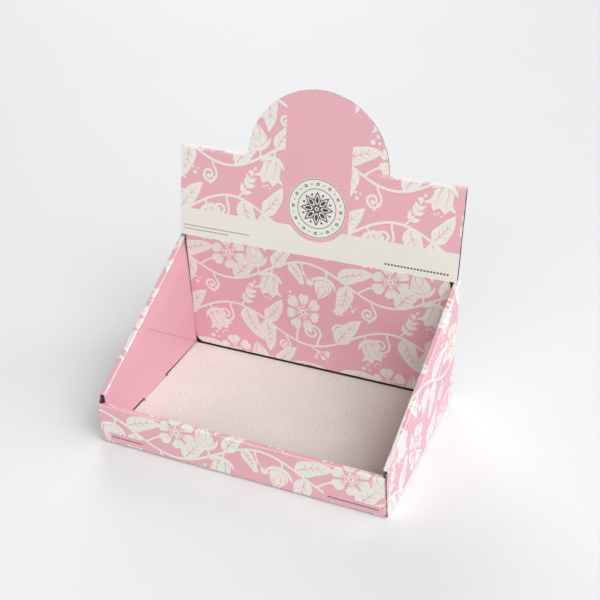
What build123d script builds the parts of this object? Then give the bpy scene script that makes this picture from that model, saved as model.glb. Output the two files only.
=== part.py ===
# Counter display box: a tray with a stand-up header, folded from one die-cut blank of
# thin corrugated board. The origin is the middle of the tray's underside, +Z is up, and
# the low front wall faces -Y. All lengths are in millimetres.
import os
from math import cos, hypot, pi, radians, sin, tan

from build123d import *

os.makedirs("parts", exist_ok=True)

# Board
board = 1.5  # thickness of one ply
ply_gap = 0.15  # air between plies that lie on each other
crease_radius = 0.1  # inside radius of a fold
fold_lap_share = 1.5  # overlap that joins two runs of the blank, as a share of the fold
overrun = 20.0  # how far a cutter reaches past the board

# Tray
tray_width = 250.0
tray_depth = 160.0
lip_height = 36.6
side_front_height = 40.8
side_rear_height = 116.6
inner_foot_gap = 1.6  # air under the lower edge of an inner panel
inner_end_gap = 0.6  # air at the ends of an inner panel
lip_mitre = 3.0  # how much shorter the lip is along its inner edge

# Corner flaps, which lie between the two plies of a side wall
flap_edge_gap = 1.2  # air above and below a corner flap
front_flap_reach = 34.0
rear_flap_reach = 84.0
rear_flap_rise_share = 0.87  # climb of the slanted lower edge, of the flap's front height

# Lock tabs, which hold the inner panels down in slots of the floor
side_tab_length = 37.0
side_tab_place = -1.5
front_tab_length = 28.0
front_tab_spacing = 150.0
slot_notch = 2.0  # open end of a slot, beside its tab
slot_gap = 0.3  # air on each face of a tab
tab_recess = 0.3  # how far a tab stops short of the underside

# Header, and the flap that tucks it into the tray
header_foot_height = 118.0
header_lean = 9.4  # degrees back from upright
header_gap = 1.6  # air between the header's two leaves
leaf_height = 79.0
arch_radius = 62.0
arch_cut = 0.5  # width of the cut around the arch
tuck_side_gap = 1.4
tuck_floor_gap = 2.4
tuck_corner_radius = 8.0

# Places that follow from the sizes above
fold_radius = board + crease_radius
fold_lap = fold_lap_share * fold_radius
half_width = tray_width / 2
half_depth = tray_depth / 2
ply_step = board + ply_gap
double_wall = board + 2 * ply_step
corner_face = half_width - ply_step  # outer face of a corner flap
corner_bend = corner_face - fold_radius  # where a corner flap starts to turn
inner_face = half_width - double_wall  # visible face of a side wall's inner panel
lip_edge = half_depth - double_wall  # visible face of the front wall's inner panel
inner_end = half_depth - board - inner_end_gap
inner_foot = board + inner_foot_gap
flap_foot = board + flap_edge_gap

side_rise = side_rear_height - side_front_height
slope_length = hypot(tray_depth, side_rise)
slope_cos = tray_depth / slope_length
slope_sin = side_rise / slope_length
fold_drop = fold_radius / slope_cos  # upright height of a fold that follows the slope

lean = radians(header_lean)
header_thickness = 2 * board + header_gap
tuck_face = half_depth - header_thickness / cos(lean)
tuck_half_width = inner_face - tuck_side_gap
tuck_foot = board + tuck_floor_gap
behind_tuck = tuck_face + board + header_gap / 2  # between the tuck flap and the back wall
rear_leaf_height = leaf_height - header_thickness * tan(lean)
arch_base = leaf_height - fold_radius
arch_hole_centre = arch_base + header_thickness + (pi - 2) * fold_radius

header_plane = Plane(
    origin=(0, tuck_face, header_foot_height),
    x_dir=(1, 0, 0),
    z_dir=(0, -cos(lean), sin(lean)),
)
# Across the slope of the right side wall: local x runs inwards, local y upwards.
side_plane = Plane(
    origin=(half_width, 0, side_front_height + side_rise / 2),
    x_dir=(-1, 0, 0),
    z_dir=(0, slope_cos, slope_sin),
)


def side_top(y):
    return side_front_height + side_rise * (y + half_depth) / tray_depth


def inner_face_of(path):
    # Every corner of a path moved to its left by the thickness of the board
    corners = [Vector(*point) for point in path]
    ways = [(end - start).normalized() for start, end in zip(corners, corners[1:])]
    lefts = [Vector(-way.Y, way.X) for way in ways]
    moved = []
    for corner, before, after in zip(corners, lefts[:1] + lefts, lefts + lefts[-1:]):
        moved.append(corner + (before + after) * (board / (1 + before.dot(after))))
    return moved


def folded_sheet(path, plane, half_length):
    # A bent strip of board. The path is its outer face, with the board on the left.
    with BuildPart() as sheet:
        with BuildSketch(plane):
            with BuildLine():
                outer = FilletPolyline(*path, radius=fold_radius)
                inner = FilletPolyline(*inner_face_of(path), radius=crease_radius)
                Line(outer @ 0, inner @ 0)
                Line(outer @ 1, inner @ 1)
            make_face()
        extrude(amount=half_length, both=True)
    return sheet.part


# Floor, and the outer panels of both side walls
floor_path = [
    (-half_width, side_rear_height),
    (-half_width, 0),
    (half_width, 0),
    (half_width, side_rear_height),
]
with BuildPart() as floor_and_sides:
    add(folded_sheet(floor_path, Plane.XZ, half_depth))
    # The side panels follow the slope, up to where their top fold starts.
    with BuildSketch(Plane.YZ):
        with BuildLine():
            Polyline(
                (-half_depth - overrun, side_top(-half_depth - overrun) - fold_drop),
                (half_depth + overrun, side_top(half_depth + overrun) - fold_drop),
                (half_depth + overrun, side_rear_height + overrun),
                (-half_depth - overrun, side_rear_height + overrun),
                close=True,
            )
        make_face()
    extrude(amount=half_width + overrun, both=True, mode=Mode.SUBTRACT)
    # Between the side panels, the floor stops where the front and back walls turn up.
    with BuildSketch(Plane.XY):
        with Locations((0, -half_depth), (0, half_depth)):
            Rectangle(2 * (half_width - fold_radius), 2 * fold_radius)
    extrude(amount=fold_radius, mode=Mode.SUBTRACT)
    # Slots for the lock tabs
    with BuildSketch(Plane.XY):
        with Locations(
            (-inner_face - board / 2, side_tab_place),
            (inner_face + board / 2, side_tab_place),
        ):
            Rectangle(board + 2 * slot_gap, side_tab_length + 2 * slot_notch)
        with Locations((0, -lip_edge - board / 2)):
            with GridLocations(front_tab_spacing, 0, 2, 1):
                Rectangle(front_tab_length + 2 * slot_notch, board + 2 * slot_gap)
    extrude(amount=board, mode=Mode.SUBTRACT)

# Sloping top strips and inner panels of the side walls
side_path = [
    (double_wall, -side_rear_height),
    (double_wall, 0),
    (0, 0),
    (0, -fold_lap),
]
with BuildPart() as side_rolls:
    add(folded_sheet(side_path, side_plane, slope_length))
    # The outer ply runs the whole depth of the tray.
    with BuildSketch(Plane.YZ):
        with BuildLine():
            Polyline(
                (-half_depth, 0),
                (half_depth, 0),
                (half_depth, side_rear_height + overrun),
                (-half_depth, side_rear_height + overrun),
                close=True,
            )
        make_face()
    extrude(amount=half_width + overrun, both=True, mode=Mode.INTERSECT)
    # The strip and the inner panel stop behind the lip and before the back wall.
    with BuildSketch(Plane.XY):
        with BuildLine():
            Polyline(
                (0, -half_depth - overrun),
                (half_width - board, -half_depth - overrun),
                (half_width - board, inner_end_gap - lip_edge),
                (0, inner_end_gap - lip_edge),
                close=True,
            )
        make_face()
        with BuildLine():
            Polyline(
                (0, half_depth + overrun),
                (half_width - board, half_depth + overrun),
                (half_width - board, inner_end),
                (0, inner_end),
                close=True,
            )
        make_face()
    extrude(amount=side_rear_height + overrun, mode=Mode.SUBTRACT)
    # The lower edge hangs clear of the floor, apart from the lock tab.
    with BuildSketch(Plane.YZ):
        with BuildLine():
            Polyline(
                (-half_depth, 0),
                (half_depth, 0),
                (half_depth, inner_foot),
                (side_tab_place + side_tab_length / 2, inner_foot),
                (side_tab_place + side_tab_length / 2, tab_recess),
                (side_tab_place - side_tab_length / 2, tab_recess),
                (side_tab_place - side_tab_length / 2, inner_foot),
                (-half_depth, inner_foot),
                close=True,
            )
        make_face()
    extrude(amount=half_width + overrun, mode=Mode.SUBTRACT)
    mirror(about=Plane.YZ)

# Front wall, its lip and its inner panel
front_path = [
    (-lip_edge, inner_foot),
    (-lip_edge, lip_height),
    (-half_depth, lip_height),
    (-half_depth, 0),
    (fold_lap - half_depth, 0),
]
with BuildPart() as front_wall:
    add(folded_sheet(front_path, Plane.YZ, corner_bend))
    # The ends of the lip are cut on the bias, and the inner panel is that much shorter.
    with BuildSketch(Plane.XY.offset(flap_foot)):
        with BuildLine():
            Polyline(
                (corner_bend + overrun, board - half_depth),
                (corner_bend, board - half_depth),
                (corner_bend - lip_mitre, -lip_edge),
                (corner_bend - lip_mitre, overrun - lip_edge),
                (corner_bend + overrun, overrun - lip_edge),
                close=True,
            )
        make_face()
        mirror(about=Plane.YZ)
    extrude(amount=lip_height, mode=Mode.SUBTRACT)
    with BuildSketch(Plane.XY.offset(tab_recess)):
        with Locations((0, -lip_edge - board / 2)):
            with GridLocations(front_tab_spacing, 0, 2, 1):
                Rectangle(front_tab_length, board)
    extrude(amount=inner_foot)

# Back wall, both leaves of the header and the tuck flap
rear_path = [
    (half_depth - fold_lap, 0),
    (half_depth, 0),
    (half_depth, header_foot_height),
    (
        half_depth + rear_leaf_height * sin(lean),
        header_foot_height + rear_leaf_height * cos(lean),
    ),
    (
        tuck_face + leaf_height * sin(lean),
        header_foot_height + leaf_height * cos(lean),
    ),
    (tuck_face, header_foot_height),
    (tuck_face, tuck_foot),
]
with BuildPart() as back_and_header:
    add(folded_sheet(rear_path, Plane.YZ, half_width))
    # Below the header, the back wall ends at its corner flaps and the tuck flap is narrower.
    with BuildSketch(Plane.XY):
        with BuildLine():
            Polyline(
                (corner_bend, half_depth + overrun),
                (corner_bend, behind_tuck),
                (tuck_half_width, behind_tuck),
                (tuck_half_width, tuck_face - overrun),
                (half_width + overrun, tuck_face - overrun),
                (half_width + overrun, half_depth + overrun),
                close=True,
            )
        make_face()
        mirror(about=Plane.YZ)
    extrude(amount=header_foot_height, mode=Mode.SUBTRACT)
    tuck_edges = edges().filter_by(Axis.Y).filter_by_position(Axis.Z, 0, tuck_foot + board)
    tuck_edges = tuck_edges.filter_by_position(Axis.Y, tuck_face, tuck_face + board)
    fillet(tuck_edges, tuck_corner_radius)
    # The arch is cut out of the top strip and the rear leaf, and stands up in the front leaf.
    with BuildSketch(header_plane):
        with Locations((0, arch_base + overrun / 2)):
            Rectangle(2 * (arch_radius + arch_cut), overrun)
    extrude(amount=header_thickness + overrun, both=True, mode=Mode.SUBTRACT)
    with BuildSketch(header_plane.offset(-board - header_gap / 2)):
        with Locations((0, arch_hole_centre)):
            Circle(arch_radius)
    extrude(amount=-header_thickness, mode=Mode.SUBTRACT)
    with BuildSketch(header_plane):
        with BuildLine():
            Line((-arch_radius, arch_base), (-arch_radius, arch_base - fold_lap))
            Line((-arch_radius, arch_base - fold_lap), (arch_radius, arch_base - fold_lap))
            Line((arch_radius, arch_base - fold_lap), (arch_radius, arch_base))
            CenterArc((0, arch_base), arch_radius, 0, 180)
        make_face()
    extrude(amount=-board)

# Corner flaps of the front and back walls
front_flap_path = [
    (corner_bend - fold_lap, -half_depth),
    (corner_face, -half_depth),
    (corner_face, front_flap_reach - half_depth),
]
rear_flap_path = [
    (corner_face, half_depth - rear_flap_reach),
    (corner_face, half_depth),
    (corner_bend - fold_lap, half_depth),
]
front_flap_top = lip_height - fold_radius - flap_edge_gap
rear_flap_end = half_depth - rear_flap_reach
rear_flap_end_top = side_top(rear_flap_end) - 2 * fold_drop - flap_edge_gap
rear_flap_end_foot = flap_foot + rear_flap_rise_share * (rear_flap_end_top - flap_foot)
with BuildPart() as front_flaps:
    add(folded_sheet(front_flap_path, Plane.XY, side_rear_height))
    with BuildSketch(Plane.XY.offset(flap_foot)):
        with Locations((half_width, 0)):
            Rectangle(tray_width, tray_depth)
    extrude(amount=front_flap_top - flap_foot, mode=Mode.INTERSECT)
    mirror(about=Plane.YZ)
with BuildPart() as rear_flaps:
    add(folded_sheet(rear_flap_path, Plane.XY, side_rear_height))
    with BuildSketch(Plane.YZ):
        with BuildLine():
            Polyline(
                (half_depth, flap_foot),
                (half_depth, side_top(half_depth) - 2 * fold_drop - flap_edge_gap),
                (rear_flap_end, rear_flap_end_top),
                (rear_flap_end, rear_flap_end_foot),
                close=True,
            )
        make_face()
    extrude(amount=half_width, mode=Mode.INTERSECT)
    mirror(about=Plane.YZ)

# The whole blank in one piece, as it is folded
with BuildPart() as display_box:
    add(floor_and_sides.part)
    add(side_rolls.part)
    add(front_wall.part)
    add(back_and_header.part)
    add(front_flaps.part)
    add(rear_flaps.part)

display_box.part.label = "display_box"
export_step(display_box.part, "parts/display_box.step")
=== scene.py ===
import math

import bpy
import numpy as np
from mathutils import Matrix, Vector
from mathutils.geometry import delaunay_2d_cdt


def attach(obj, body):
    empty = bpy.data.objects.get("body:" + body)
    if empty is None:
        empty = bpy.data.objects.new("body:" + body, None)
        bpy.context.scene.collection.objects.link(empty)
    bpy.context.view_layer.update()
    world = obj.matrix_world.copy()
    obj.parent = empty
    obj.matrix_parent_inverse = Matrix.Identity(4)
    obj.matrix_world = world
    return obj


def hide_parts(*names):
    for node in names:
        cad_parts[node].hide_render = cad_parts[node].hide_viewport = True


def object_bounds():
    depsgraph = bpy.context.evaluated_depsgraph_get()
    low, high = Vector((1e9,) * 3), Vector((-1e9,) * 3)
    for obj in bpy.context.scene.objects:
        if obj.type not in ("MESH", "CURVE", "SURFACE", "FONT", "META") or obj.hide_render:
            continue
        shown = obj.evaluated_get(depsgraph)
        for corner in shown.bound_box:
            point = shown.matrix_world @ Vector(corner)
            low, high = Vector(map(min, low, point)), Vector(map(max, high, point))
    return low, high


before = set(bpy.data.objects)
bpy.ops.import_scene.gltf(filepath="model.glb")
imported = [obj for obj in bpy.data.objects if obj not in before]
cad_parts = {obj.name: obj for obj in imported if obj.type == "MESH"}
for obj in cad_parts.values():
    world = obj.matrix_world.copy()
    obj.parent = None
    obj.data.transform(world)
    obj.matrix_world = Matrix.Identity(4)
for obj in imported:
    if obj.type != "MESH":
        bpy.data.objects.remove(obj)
cadLow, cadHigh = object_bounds()
scene = bpy.context.scene
mm = 0.001  # the blank is worked out in millimetres
print("frame loaded")


# The blank: one die-cut sheet, drawn flat and then folded up

blank = {
    "board": 1.5,
    "plyGap": 0.15,
    "foldOut": 1.0,  # outside radius of a fold, where the crease has flattened the board
    "creased": 0.85,  # board left at a fold
    "cutEdge": 1.05,  # and along a cut
    "width": 250.0,
    "depth": 160.0,
    "lip": 36.6,
    "sideFront": 40.8,
    "sideRear": 116.6,
    "innerFootGap": 1.6,
    "innerEndGap": 0.6,
    "lipMitre": 3.0,
    "lipReach": 0.9,  # how far the lip runs on past the corner fold
    # front ends of the side walls: how far back the edge is, the strip's run and the slant's foot
    "leftEnd": {"setback": 3.5, "runOn": 0.0, "cut": 36.0},
    "rightEnd": {"setback": 0.0, "runOn": 2.4, "cut": 33.6},
    "flapLug": 39.0,  # height of the front flap's lug inside the open end of the side wall
    "lugLength": 11.0,
    "flapEdgeGap": 1.2,
    "frontFlapReach": 34.0,
    "rearFlapReach": 84.0,
    "rearFlapRise": 0.87,
    "sideTab": 37.0,
    "sideTabPlace": -1.5,
    "frontTab": 28.0,
    "frontTabSpacing": 150.0,
    "slotNotch": 2.0,
    "slotEar": 1.1,  # how far the slot's ends are notched into the floor
    "slotGap": 0.3,
    "tabRecess": 0.3,
    "headerFoot": 118.0,
    "lean": 9.4,
    "headerGap": 1.6,
    "leaf": 79.0,
    "arch": 62.0,
    "archCut": 0.5,
    "tuckSideGap": 1.4,
    "tuckFloorGap": 2.4,
    "tuckCorner": 8.0,
    "cornerSteps": 10,
    "archSteps": 72,
    "bendSteps": 6,  # facets round a fold
    "foldReach": 0.7,  # how far the flattened board reaches past a fold
    "topHighlight": 2.3,  # width of the painted highlight band below the header's top fold
    "shadeFade": 0.35,  # half the width over which the painted shade fades in where the board runs in under a wall
    "gridStep": 8.0,  # spacing of the points that let the card bow
    "weld": 0.002,  # points closer than this are one
    "openEndShade": 3,  # depth of the painted shade in the header's open ends, in wall thicknesses
    "leastArea": 1e-7,  # smaller triangles are left out
    "rollLead": 50.0,  # length of the upright run that the rolled-over profile starts with
}

board = blank["board"]
foldRadius = blank["foldOut"]
quarterBend = math.pi / 2 * foldRadius
halfWidth = blank["width"] / 2
halfDepth = blank["depth"] / 2
plyStep = board + blank["plyGap"]
doubleWall = board + 2 * plyStep
cornerFace = halfWidth - plyStep
cornerBend = cornerFace - foldRadius
innerFace = halfWidth - doubleWall
lipEdge = halfDepth - doubleWall
innerEnd = halfDepth - board - blank["innerEndGap"]
innerFront = blank["innerEndGap"] - lipEdge
innerFoot = board + blank["innerFootGap"]
flapFoot = board + blank["flapEdgeGap"]
flapRise = blank["lip"] - foldRadius - blank["flapEdgeGap"]
slopeAngle = math.atan2(blank["sideRear"] - blank["sideFront"], blank["depth"])
slopeCos, slopeSin = math.cos(slopeAngle), math.sin(slopeAngle)
sideMiddle = (blank["sideFront"] + blank["sideRear"]) / 2
lean = math.radians(blank["lean"])
headerThick = 2 * board + blank["headerGap"]
tuckFace = halfDepth - headerThick / math.cos(lean)
tuckHalf = innerFace - blank["tuckSideGap"]
tuckFoot = board + blank["tuckFloorGap"]
rearLeaf = blank["leaf"] - headerThick * math.tan(lean)
archBase = blank["leaf"] - foldRadius
rollLead = blank["rollLead"]
slopeReach = halfDepth / slopeCos + doubleWall


def foldProfile(corners, outside):
    # straight runs and bends of a folded strip, measured along its printed face;
    # outside is 1 where that face looks left of the way along, and -1 where it looks right
    corners = [np.array(c, float) for c in corners]
    ways = [b - a for a, b in zip(corners, corners[1:])]
    ways = [w / np.linalg.norm(w) for w in ways]
    runs = []
    bends = []
    place = 0.0
    start = corners[0]
    for i, way in enumerate(ways):
        end = corners[i + 1]
        turn = 0.0
        if i + 1 < len(ways):
            after = ways[i + 1]
            turn = math.atan2(way[0] * after[1] - way[1] * after[0], way @ after)
        tangent = foldRadius * math.tan(abs(turn) / 2)
        length = (end - start) @ way - tangent
        runs.append({"from": place, "to": place + length, "point": start, "way": way, "turn": 0.0})
        place += length
        if turn:
            bend = foldRadius * abs(turn)
            touch = end - tangent * way
            runs.append({"from": place, "to": place + bend, "point": touch, "way": way, "turn": turn})
            bends.append((place, place + bend))
            place += bend
            start = end + tangent * ways[i + 1]
    return {"runs": runs, "bends": bends, "length": place, "outside": outside}


def walk(profile, along):
    # points on the printed face and the way it looks, at the given lengths
    along = np.asarray(along, float)
    points = np.zeros((len(along), 2))
    looks = np.zeros((len(along), 2))
    last = len(profile["runs"]) - 1
    for i, run in enumerate(profile["runs"]):
        here = np.ones(len(along), bool)
        if i > 0:
            here &= along >= run["from"]
        if i < last:
            here &= along < run["to"]
        part = along[here] - run["from"]
        wayX, wayY = run["way"]
        if run["turn"]:
            sign = math.copysign(1.0, run["turn"])
            angle = sign * part / foldRadius
            centre = run["point"] + sign * foldRadius * np.array([-wayY, wayX])
            c, s = np.cos(angle), np.sin(angle)
            headX, headY = wayX * c - wayY * s, wayX * s + wayY * c
            spots = centre[None] - sign * foldRadius * np.stack([-headY, headX], 1)
        else:
            headX = np.full(len(part), wayX)
            headY = np.full(len(part), wayY)
            spots = run["point"][None] + part[:, None] * run["way"][None]
        points[here] = spots
        looks[here] = profile["outside"] * np.stack([-headY, headX], 1)
    return points, looks


leanUp = np.array([math.sin(lean), math.cos(lean)])
rearProfile = foldProfile([
    (0, 0),
    (halfDepth, 0),
    (halfDepth, blank["headerFoot"]),
    (halfDepth + rearLeaf * leanUp[0], blank["headerFoot"] + rearLeaf * leanUp[1]),
    (tuckFace + blank["leaf"] * leanUp[0], blank["headerFoot"] + blank["leaf"] * leanUp[1]),
    (tuckFace, blank["headerFoot"]),
    (tuckFace, tuckFoot),
], -1)
frontProfile = foldProfile([
    (0, 0), (-halfDepth, 0), (-halfDepth, blank["lip"]), (-lipEdge, blank["lip"]), (-lipEdge, innerFoot),
], 1)
sideProfile = foldProfile([(0, 0), (halfWidth, 0), (halfWidth, blank["sideRear"])], -1)
rollProfile = foldProfile([
    (0, -rollLead), (0, 0), (doubleWall, 0), (doubleWall, -blank["sideRear"]),
], 1)
frontCorner = foldProfile([
    (0, -halfDepth), (cornerFace, -halfDepth), (cornerFace, blank["frontFlapReach"] - halfDepth),
], -1)
rearCorner = foldProfile([
    (0, halfDepth), (cornerFace, halfDepth), (cornerFace, halfDepth - blank["rearFlapReach"]),
], 1)

hingeAt = sum(rearProfile["bends"][1]) / 2
archAt = rearProfile["bends"][3][1]  # where the arch leaves the front leaf
footAt = sum(rearProfile["bends"][4]) / 2
stripAt = sum(rearProfile["bends"][2] + rearProfile["bends"][3]) / 4
tuckEnd = rearProfile["length"]
wallRise = halfDepth - 2 * foldRadius + quarterBend  # flat place of height 0 on a front or back wall
sideRise = halfWidth - 2 * foldRadius + quarterBend  # and on a side wall
rolledAt = rollProfile["bends"][1][1] - rollLead  # where the inner ply starts, past the slope


def sideTop(y):
    return sideMiddle + y * slopeSin / slopeCos


def onSlope(along, across):
    # a flat point of the right side wall, by its place along and across the slope
    y = along * slopeCos - across * slopeSin
    z = sideMiddle + along * slopeSin + across * slopeCos
    return (sideRise + z, y)


def rolledOver(y, z):
    # flat place of a point that ends up on the inner ply of the right side wall
    along = y * slopeCos + (z - sideMiddle) * slopeSin
    below = y * slopeSin - (z - sideMiddle) * slopeCos
    return onSlope(along, rolledAt + below - foldRadius)


def onRing(x, y, radius, angle):
    return (x + radius * math.cos(angle), y + radius * math.sin(angle))


def arcPoints(x, y, radius, start, end, steps):
    return [onRing(x, y, radius, math.radians(start + (end - start) * k / steps)) for k in range(steps + 1)]


def bothSides(half):
    return half + [(-x, y) for x, y in reversed(half)]


def rectangle(x0, y0, x1, y1):
    return [(x0, y0), (x1, y0), (x1, y1), (x0, y1)]


# each panel is a list of loops, the outline first and then any holes

def floorPanel():
    outline = rectangle(foldRadius - halfWidth, foldRadius - halfDepth,
                        halfWidth - foldRadius, halfDepth - foldRadius)
    slotWide = board / 2 + blank["slotGap"]
    slots = []
    reach = blank["sideTab"] / 2 + blank["slotNotch"]
    slotIn, slotOut = innerFace + board / 2 - slotWide, innerFace + board / 2 + slotWide
    for side in (-1, 1):
        half = [(slotOut, reach), (slotIn - blank["slotEar"], reach)]
        half += [(slotIn - blank["slotEar"], blank["sideTab"] / 2), (slotIn, blank["sideTab"] / 2)]
        loop = half + [(x, -y) for x, y in reversed(half)]
        slots.append([(side * x, y + blank["sideTabPlace"]) for x, y in loop])
    reach = blank["frontTab"] / 2 + blank["slotNotch"]
    for side in (-1, 1):
        x = side * blank["frontTabSpacing"] / 2
        y = -lipEdge - board / 2
        slots.append(rectangle(x - reach, y - slotWide, x + reach, y + slotWide))
    return [outline] + slots


def archLoop(gap):
    return arcPoints(0, archAt, blank["arch"] + gap, 180, 360, blank["archSteps"])


def rearPanel():
    corner = blank["tuckCorner"]
    half = [(cornerBend, halfDepth - foldRadius), (cornerBend, hingeAt), (halfWidth, hingeAt)]
    half += [(halfWidth, footAt), (tuckHalf, footAt)]
    half += arcPoints(tuckHalf - corner, tuckEnd - corner, corner, 0, 90, blank["cornerSteps"])
    return [bothSides(half), archLoop(blank["archCut"])]


def frontPanel():
    lipStart = frontProfile["bends"][1][1]
    lipEnd = frontProfile["bends"][2][0]
    inner = cornerBend - blank["lipMitre"]
    foot = frontProfile["length"]
    tabFoot = foot + innerFoot - blank["tabRecess"]
    tabIn = (blank["frontTabSpacing"] - blank["frontTab"]) / 2
    tabOut = (blank["frontTabSpacing"] + blank["frontTab"]) / 2
    lipOut = cornerBend + blank["lipReach"]
    flapTop = wallRise + flapRise + blank["slotGap"]
    half = [(cornerBend, halfDepth - foldRadius), (cornerBend, flapTop), (lipOut, flapTop)]
    half += [(lipOut, lipStart), (inner, lipEnd), (inner, foot)]
    half += [(tabOut, foot), (tabOut, tabFoot), (tabIn, tabFoot), (tabIn, foot)]
    return [[(x, -s) for x, s in bothSides(half)]]


def sidePanel(end):
    rollStart = rollProfile["bends"][0][1] - rollLead
    rollEnd = rollProfile["bends"][1][0] - rollLead
    bottom = halfWidth - foldRadius
    slant = foldRadius * slopeSin
    tabRear = blank["sideTabPlace"] + blank["sideTab"] / 2
    tabFront = blank["sideTabPlace"] - blank["sideTab"] / 2
    edge = rollStart * slopeSin / slopeCos
    front = end["setback"] - halfDepth
    outline = [(bottom, front), (bottom, halfDepth)]
    outline += [onSlope(halfDepth / slopeCos + edge, rollStart)]
    outline += [onSlope(innerEnd / slopeCos, rollStart), onSlope(innerEnd / slopeCos, rollEnd)]
    outline += [onSlope((innerEnd - slant) / slopeCos, rolledAt), rolledOver(innerEnd, innerFoot)]
    outline += [rolledOver(tabRear, innerFoot), rolledOver(tabRear, blank["tabRecess"])]
    outline += [rolledOver(tabFront, blank["tabRecess"]), rolledOver(tabFront, innerFoot)]
    outline += [rolledOver(innerFront, innerFoot), onSlope((innerFront - slant) / slopeCos, rolledAt)]
    stripFront = (innerFront - end["runOn"]) / slopeCos
    outline += [onSlope(stripFront, rollEnd), onSlope(stripFront, rollStart)]
    return [outline + [(sideRise + end["cut"], front)]]


def frontFlapPanel():
    end = frontCorner["length"]
    lugStart = frontCorner["bends"][0][1] + board
    lugEnd = lugStart + blank["lugLength"]
    outline = [(cornerBend, flapFoot), (end, flapFoot), (end, flapRise), (lugEnd, flapRise)]
    outline += [(lugEnd, blank["flapLug"]), (lugStart, blank["flapLug"])]
    outline += [(lugStart, flapRise), (cornerBend, flapRise)]
    return [[(u, -wallRise - z) for u, z in outline]]


flapDrop = (board + foldRadius) / slopeCos + blank["flapEdgeGap"]
rearFlapFront = halfDepth - blank["rearFlapReach"]
rearFlapTop = sideTop(rearFlapFront) - flapDrop
rearFlapLow = flapFoot + blank["rearFlapRise"] * (rearFlapTop - flapFoot)


def rearFlapPanel():
    end = rearCorner["length"]
    outline = [(cornerBend, flapFoot), (end, rearFlapLow), (end, rearFlapTop)]
    outline += [(cornerBend, sideTop(halfDepth) - flapDrop)]
    return [[(u, wallRise + z) for u, z in outline]]


def mirrored(loops):
    return [[(-x, y) for x, y in loop] for loop in loops]


# folding: places and the ways the printed face looks, from flat places

def foldFloor(u, v):
    flat = np.zeros(len(u))
    return np.stack([u, v, flat], 1), np.stack([flat, flat, flat - 1], 1)


def foldStrip(u, v, profile, way):
    points, looks = walk(profile, way * v)
    return np.column_stack([u, points]), np.column_stack([0 * u, looks])


def foldArch(u, v):
    rise = archBase + archAt - v
    flat = np.zeros(len(u))
    y = tuckFace + rise * leanUp[0]
    z = blank["headerFoot"] + rise * leanUp[1]
    return np.stack([u, y, z], 1), np.stack([flat, flat - leanUp[1], flat + leanUp[0]], 1)


def slopeAcross(out, v):
    # how far a flat point of a side wall lies past the slope
    return (out - sideRise - sideMiddle) * slopeCos - v * slopeSin


def foldSide(u, v):
    side = np.sign(u)
    points, looks = walk(sideProfile, np.abs(u))
    place = np.stack([points[:, 0], v, points[:, 1]], 1)
    normal = np.stack([looks[:, 0], 0 * v, looks[:, 1]], 1)
    along = v * slopeCos + (np.abs(u) - sideRise - sideMiddle) * slopeSin
    across = slopeAcross(np.abs(u), v)
    over = across > -foldRadius
    rolled, looks = walk(rollProfile, across[over] + rollLead)
    place[over, 0] = halfWidth - rolled[:, 0]
    place[over, 1] = along[over] * slopeCos - rolled[:, 1] * slopeSin
    place[over, 2] = sideMiddle + along[over] * slopeSin + rolled[:, 1] * slopeCos
    normal[over] = np.stack([-looks[:, 0], -looks[:, 1] * slopeSin, looks[:, 1] * slopeCos], 1)
    place[:, 0] *= side
    normal[:, 0] *= side
    return place, normal


def foldCorner(u, v, corner):
    side = np.sign(u)
    points, looks = walk(corner, np.abs(u))
    place = np.stack([points[:, 0] * side, points[:, 1], np.abs(v) - wallRise], 1)
    return place, np.stack([looks[:, 0] * side, looks[:, 1], 0 * u], 1)


panels = {
    "floor": (floorPanel(), foldFloor),
    "rear": (rearPanel(), foldStrip, rearProfile, 1),
    "arch": ([archLoop(0)], foldArch),
    "front": (frontPanel(), foldStrip, frontProfile, -1),
    "rightSide": (sidePanel(blank["rightEnd"]), foldSide),
    "leftSide": (mirrored(sidePanel(blank["leftEnd"])), foldSide),
    "rightFrontFlap": (frontFlapPanel(), foldCorner, frontCorner),
    "leftFrontFlap": (mirrored(frontFlapPanel()), foldCorner, frontCorner),
    "rightRearFlap": (rearFlapPanel(), foldCorner, rearCorner),
    "leftRearFlap": (mirrored(rearFlapPanel()), foldCorner, rearCorner),
}
panelNames = list(panels)

cardBow = {
    "edgePower": 4,  # how closely the bow of the walls keeps to the tray's edges
    "leftPull": 0.4,  # how far the front ends of the side walls are drawn in
    "rightPull": 1.4,
    "rightFoot": 1.0,  # and the right one's foot
    "pullTop": 1.2,  # where the pull stops growing, in heights of the lip
    "splay": 2.0,  # how far the side walls lean out at the back
    "leftTuck": 0.45,  # how much of it the tuck flap's ends follow
    "rightTuck": 1.45,
    "tuckBlend": 8.0,
    "flapBlend": 14.0,
    "rightRise": 1.5,  # how far the right wall's back end is pushed up
    "leftCorner": 1.6,  # how far the front wall's corners stand out past their folds
    "rightCorner": 0.4,
    "cornerReach": 28.0,
    "cornerGap": 0.6,
    "leafPull": 3.2,  # how far the header's left foot stands forward
    "lift": 1.5,  # how far the tray's edges stand off the ground while its floor sags to it
    "sagPower": 3,
    "footDrop": 1.2,  # how far the inner panels' feet sink at the back
    "footReach": 24.0,
    "tuckSpread": 0.9,  # how far the tuck flap's left end spreads at its foot
    "tuckReach": 90.0,
    "printThrough": 1.0,  # how far the trapped flap pushes the inner ply in
    "printRise": 1.8,  # over what height
    "printFoot": -1.2,
    "printEnd": 73.5,
    "printTop": 4,  # how far below the slope it fades out, in wall thicknesses
    "printSteps": 3,
    "printFade": 6.0,
    "probe": 0.01,
}


def flapEdge(y):
    # height of the line where the rear flap shows through the inner ply
    rise = rearFlapLow - cardBow["printFoot"]
    return cardBow["printFoot"] + rise * (halfDepth - y) / blank["rearFlapReach"]


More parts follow.
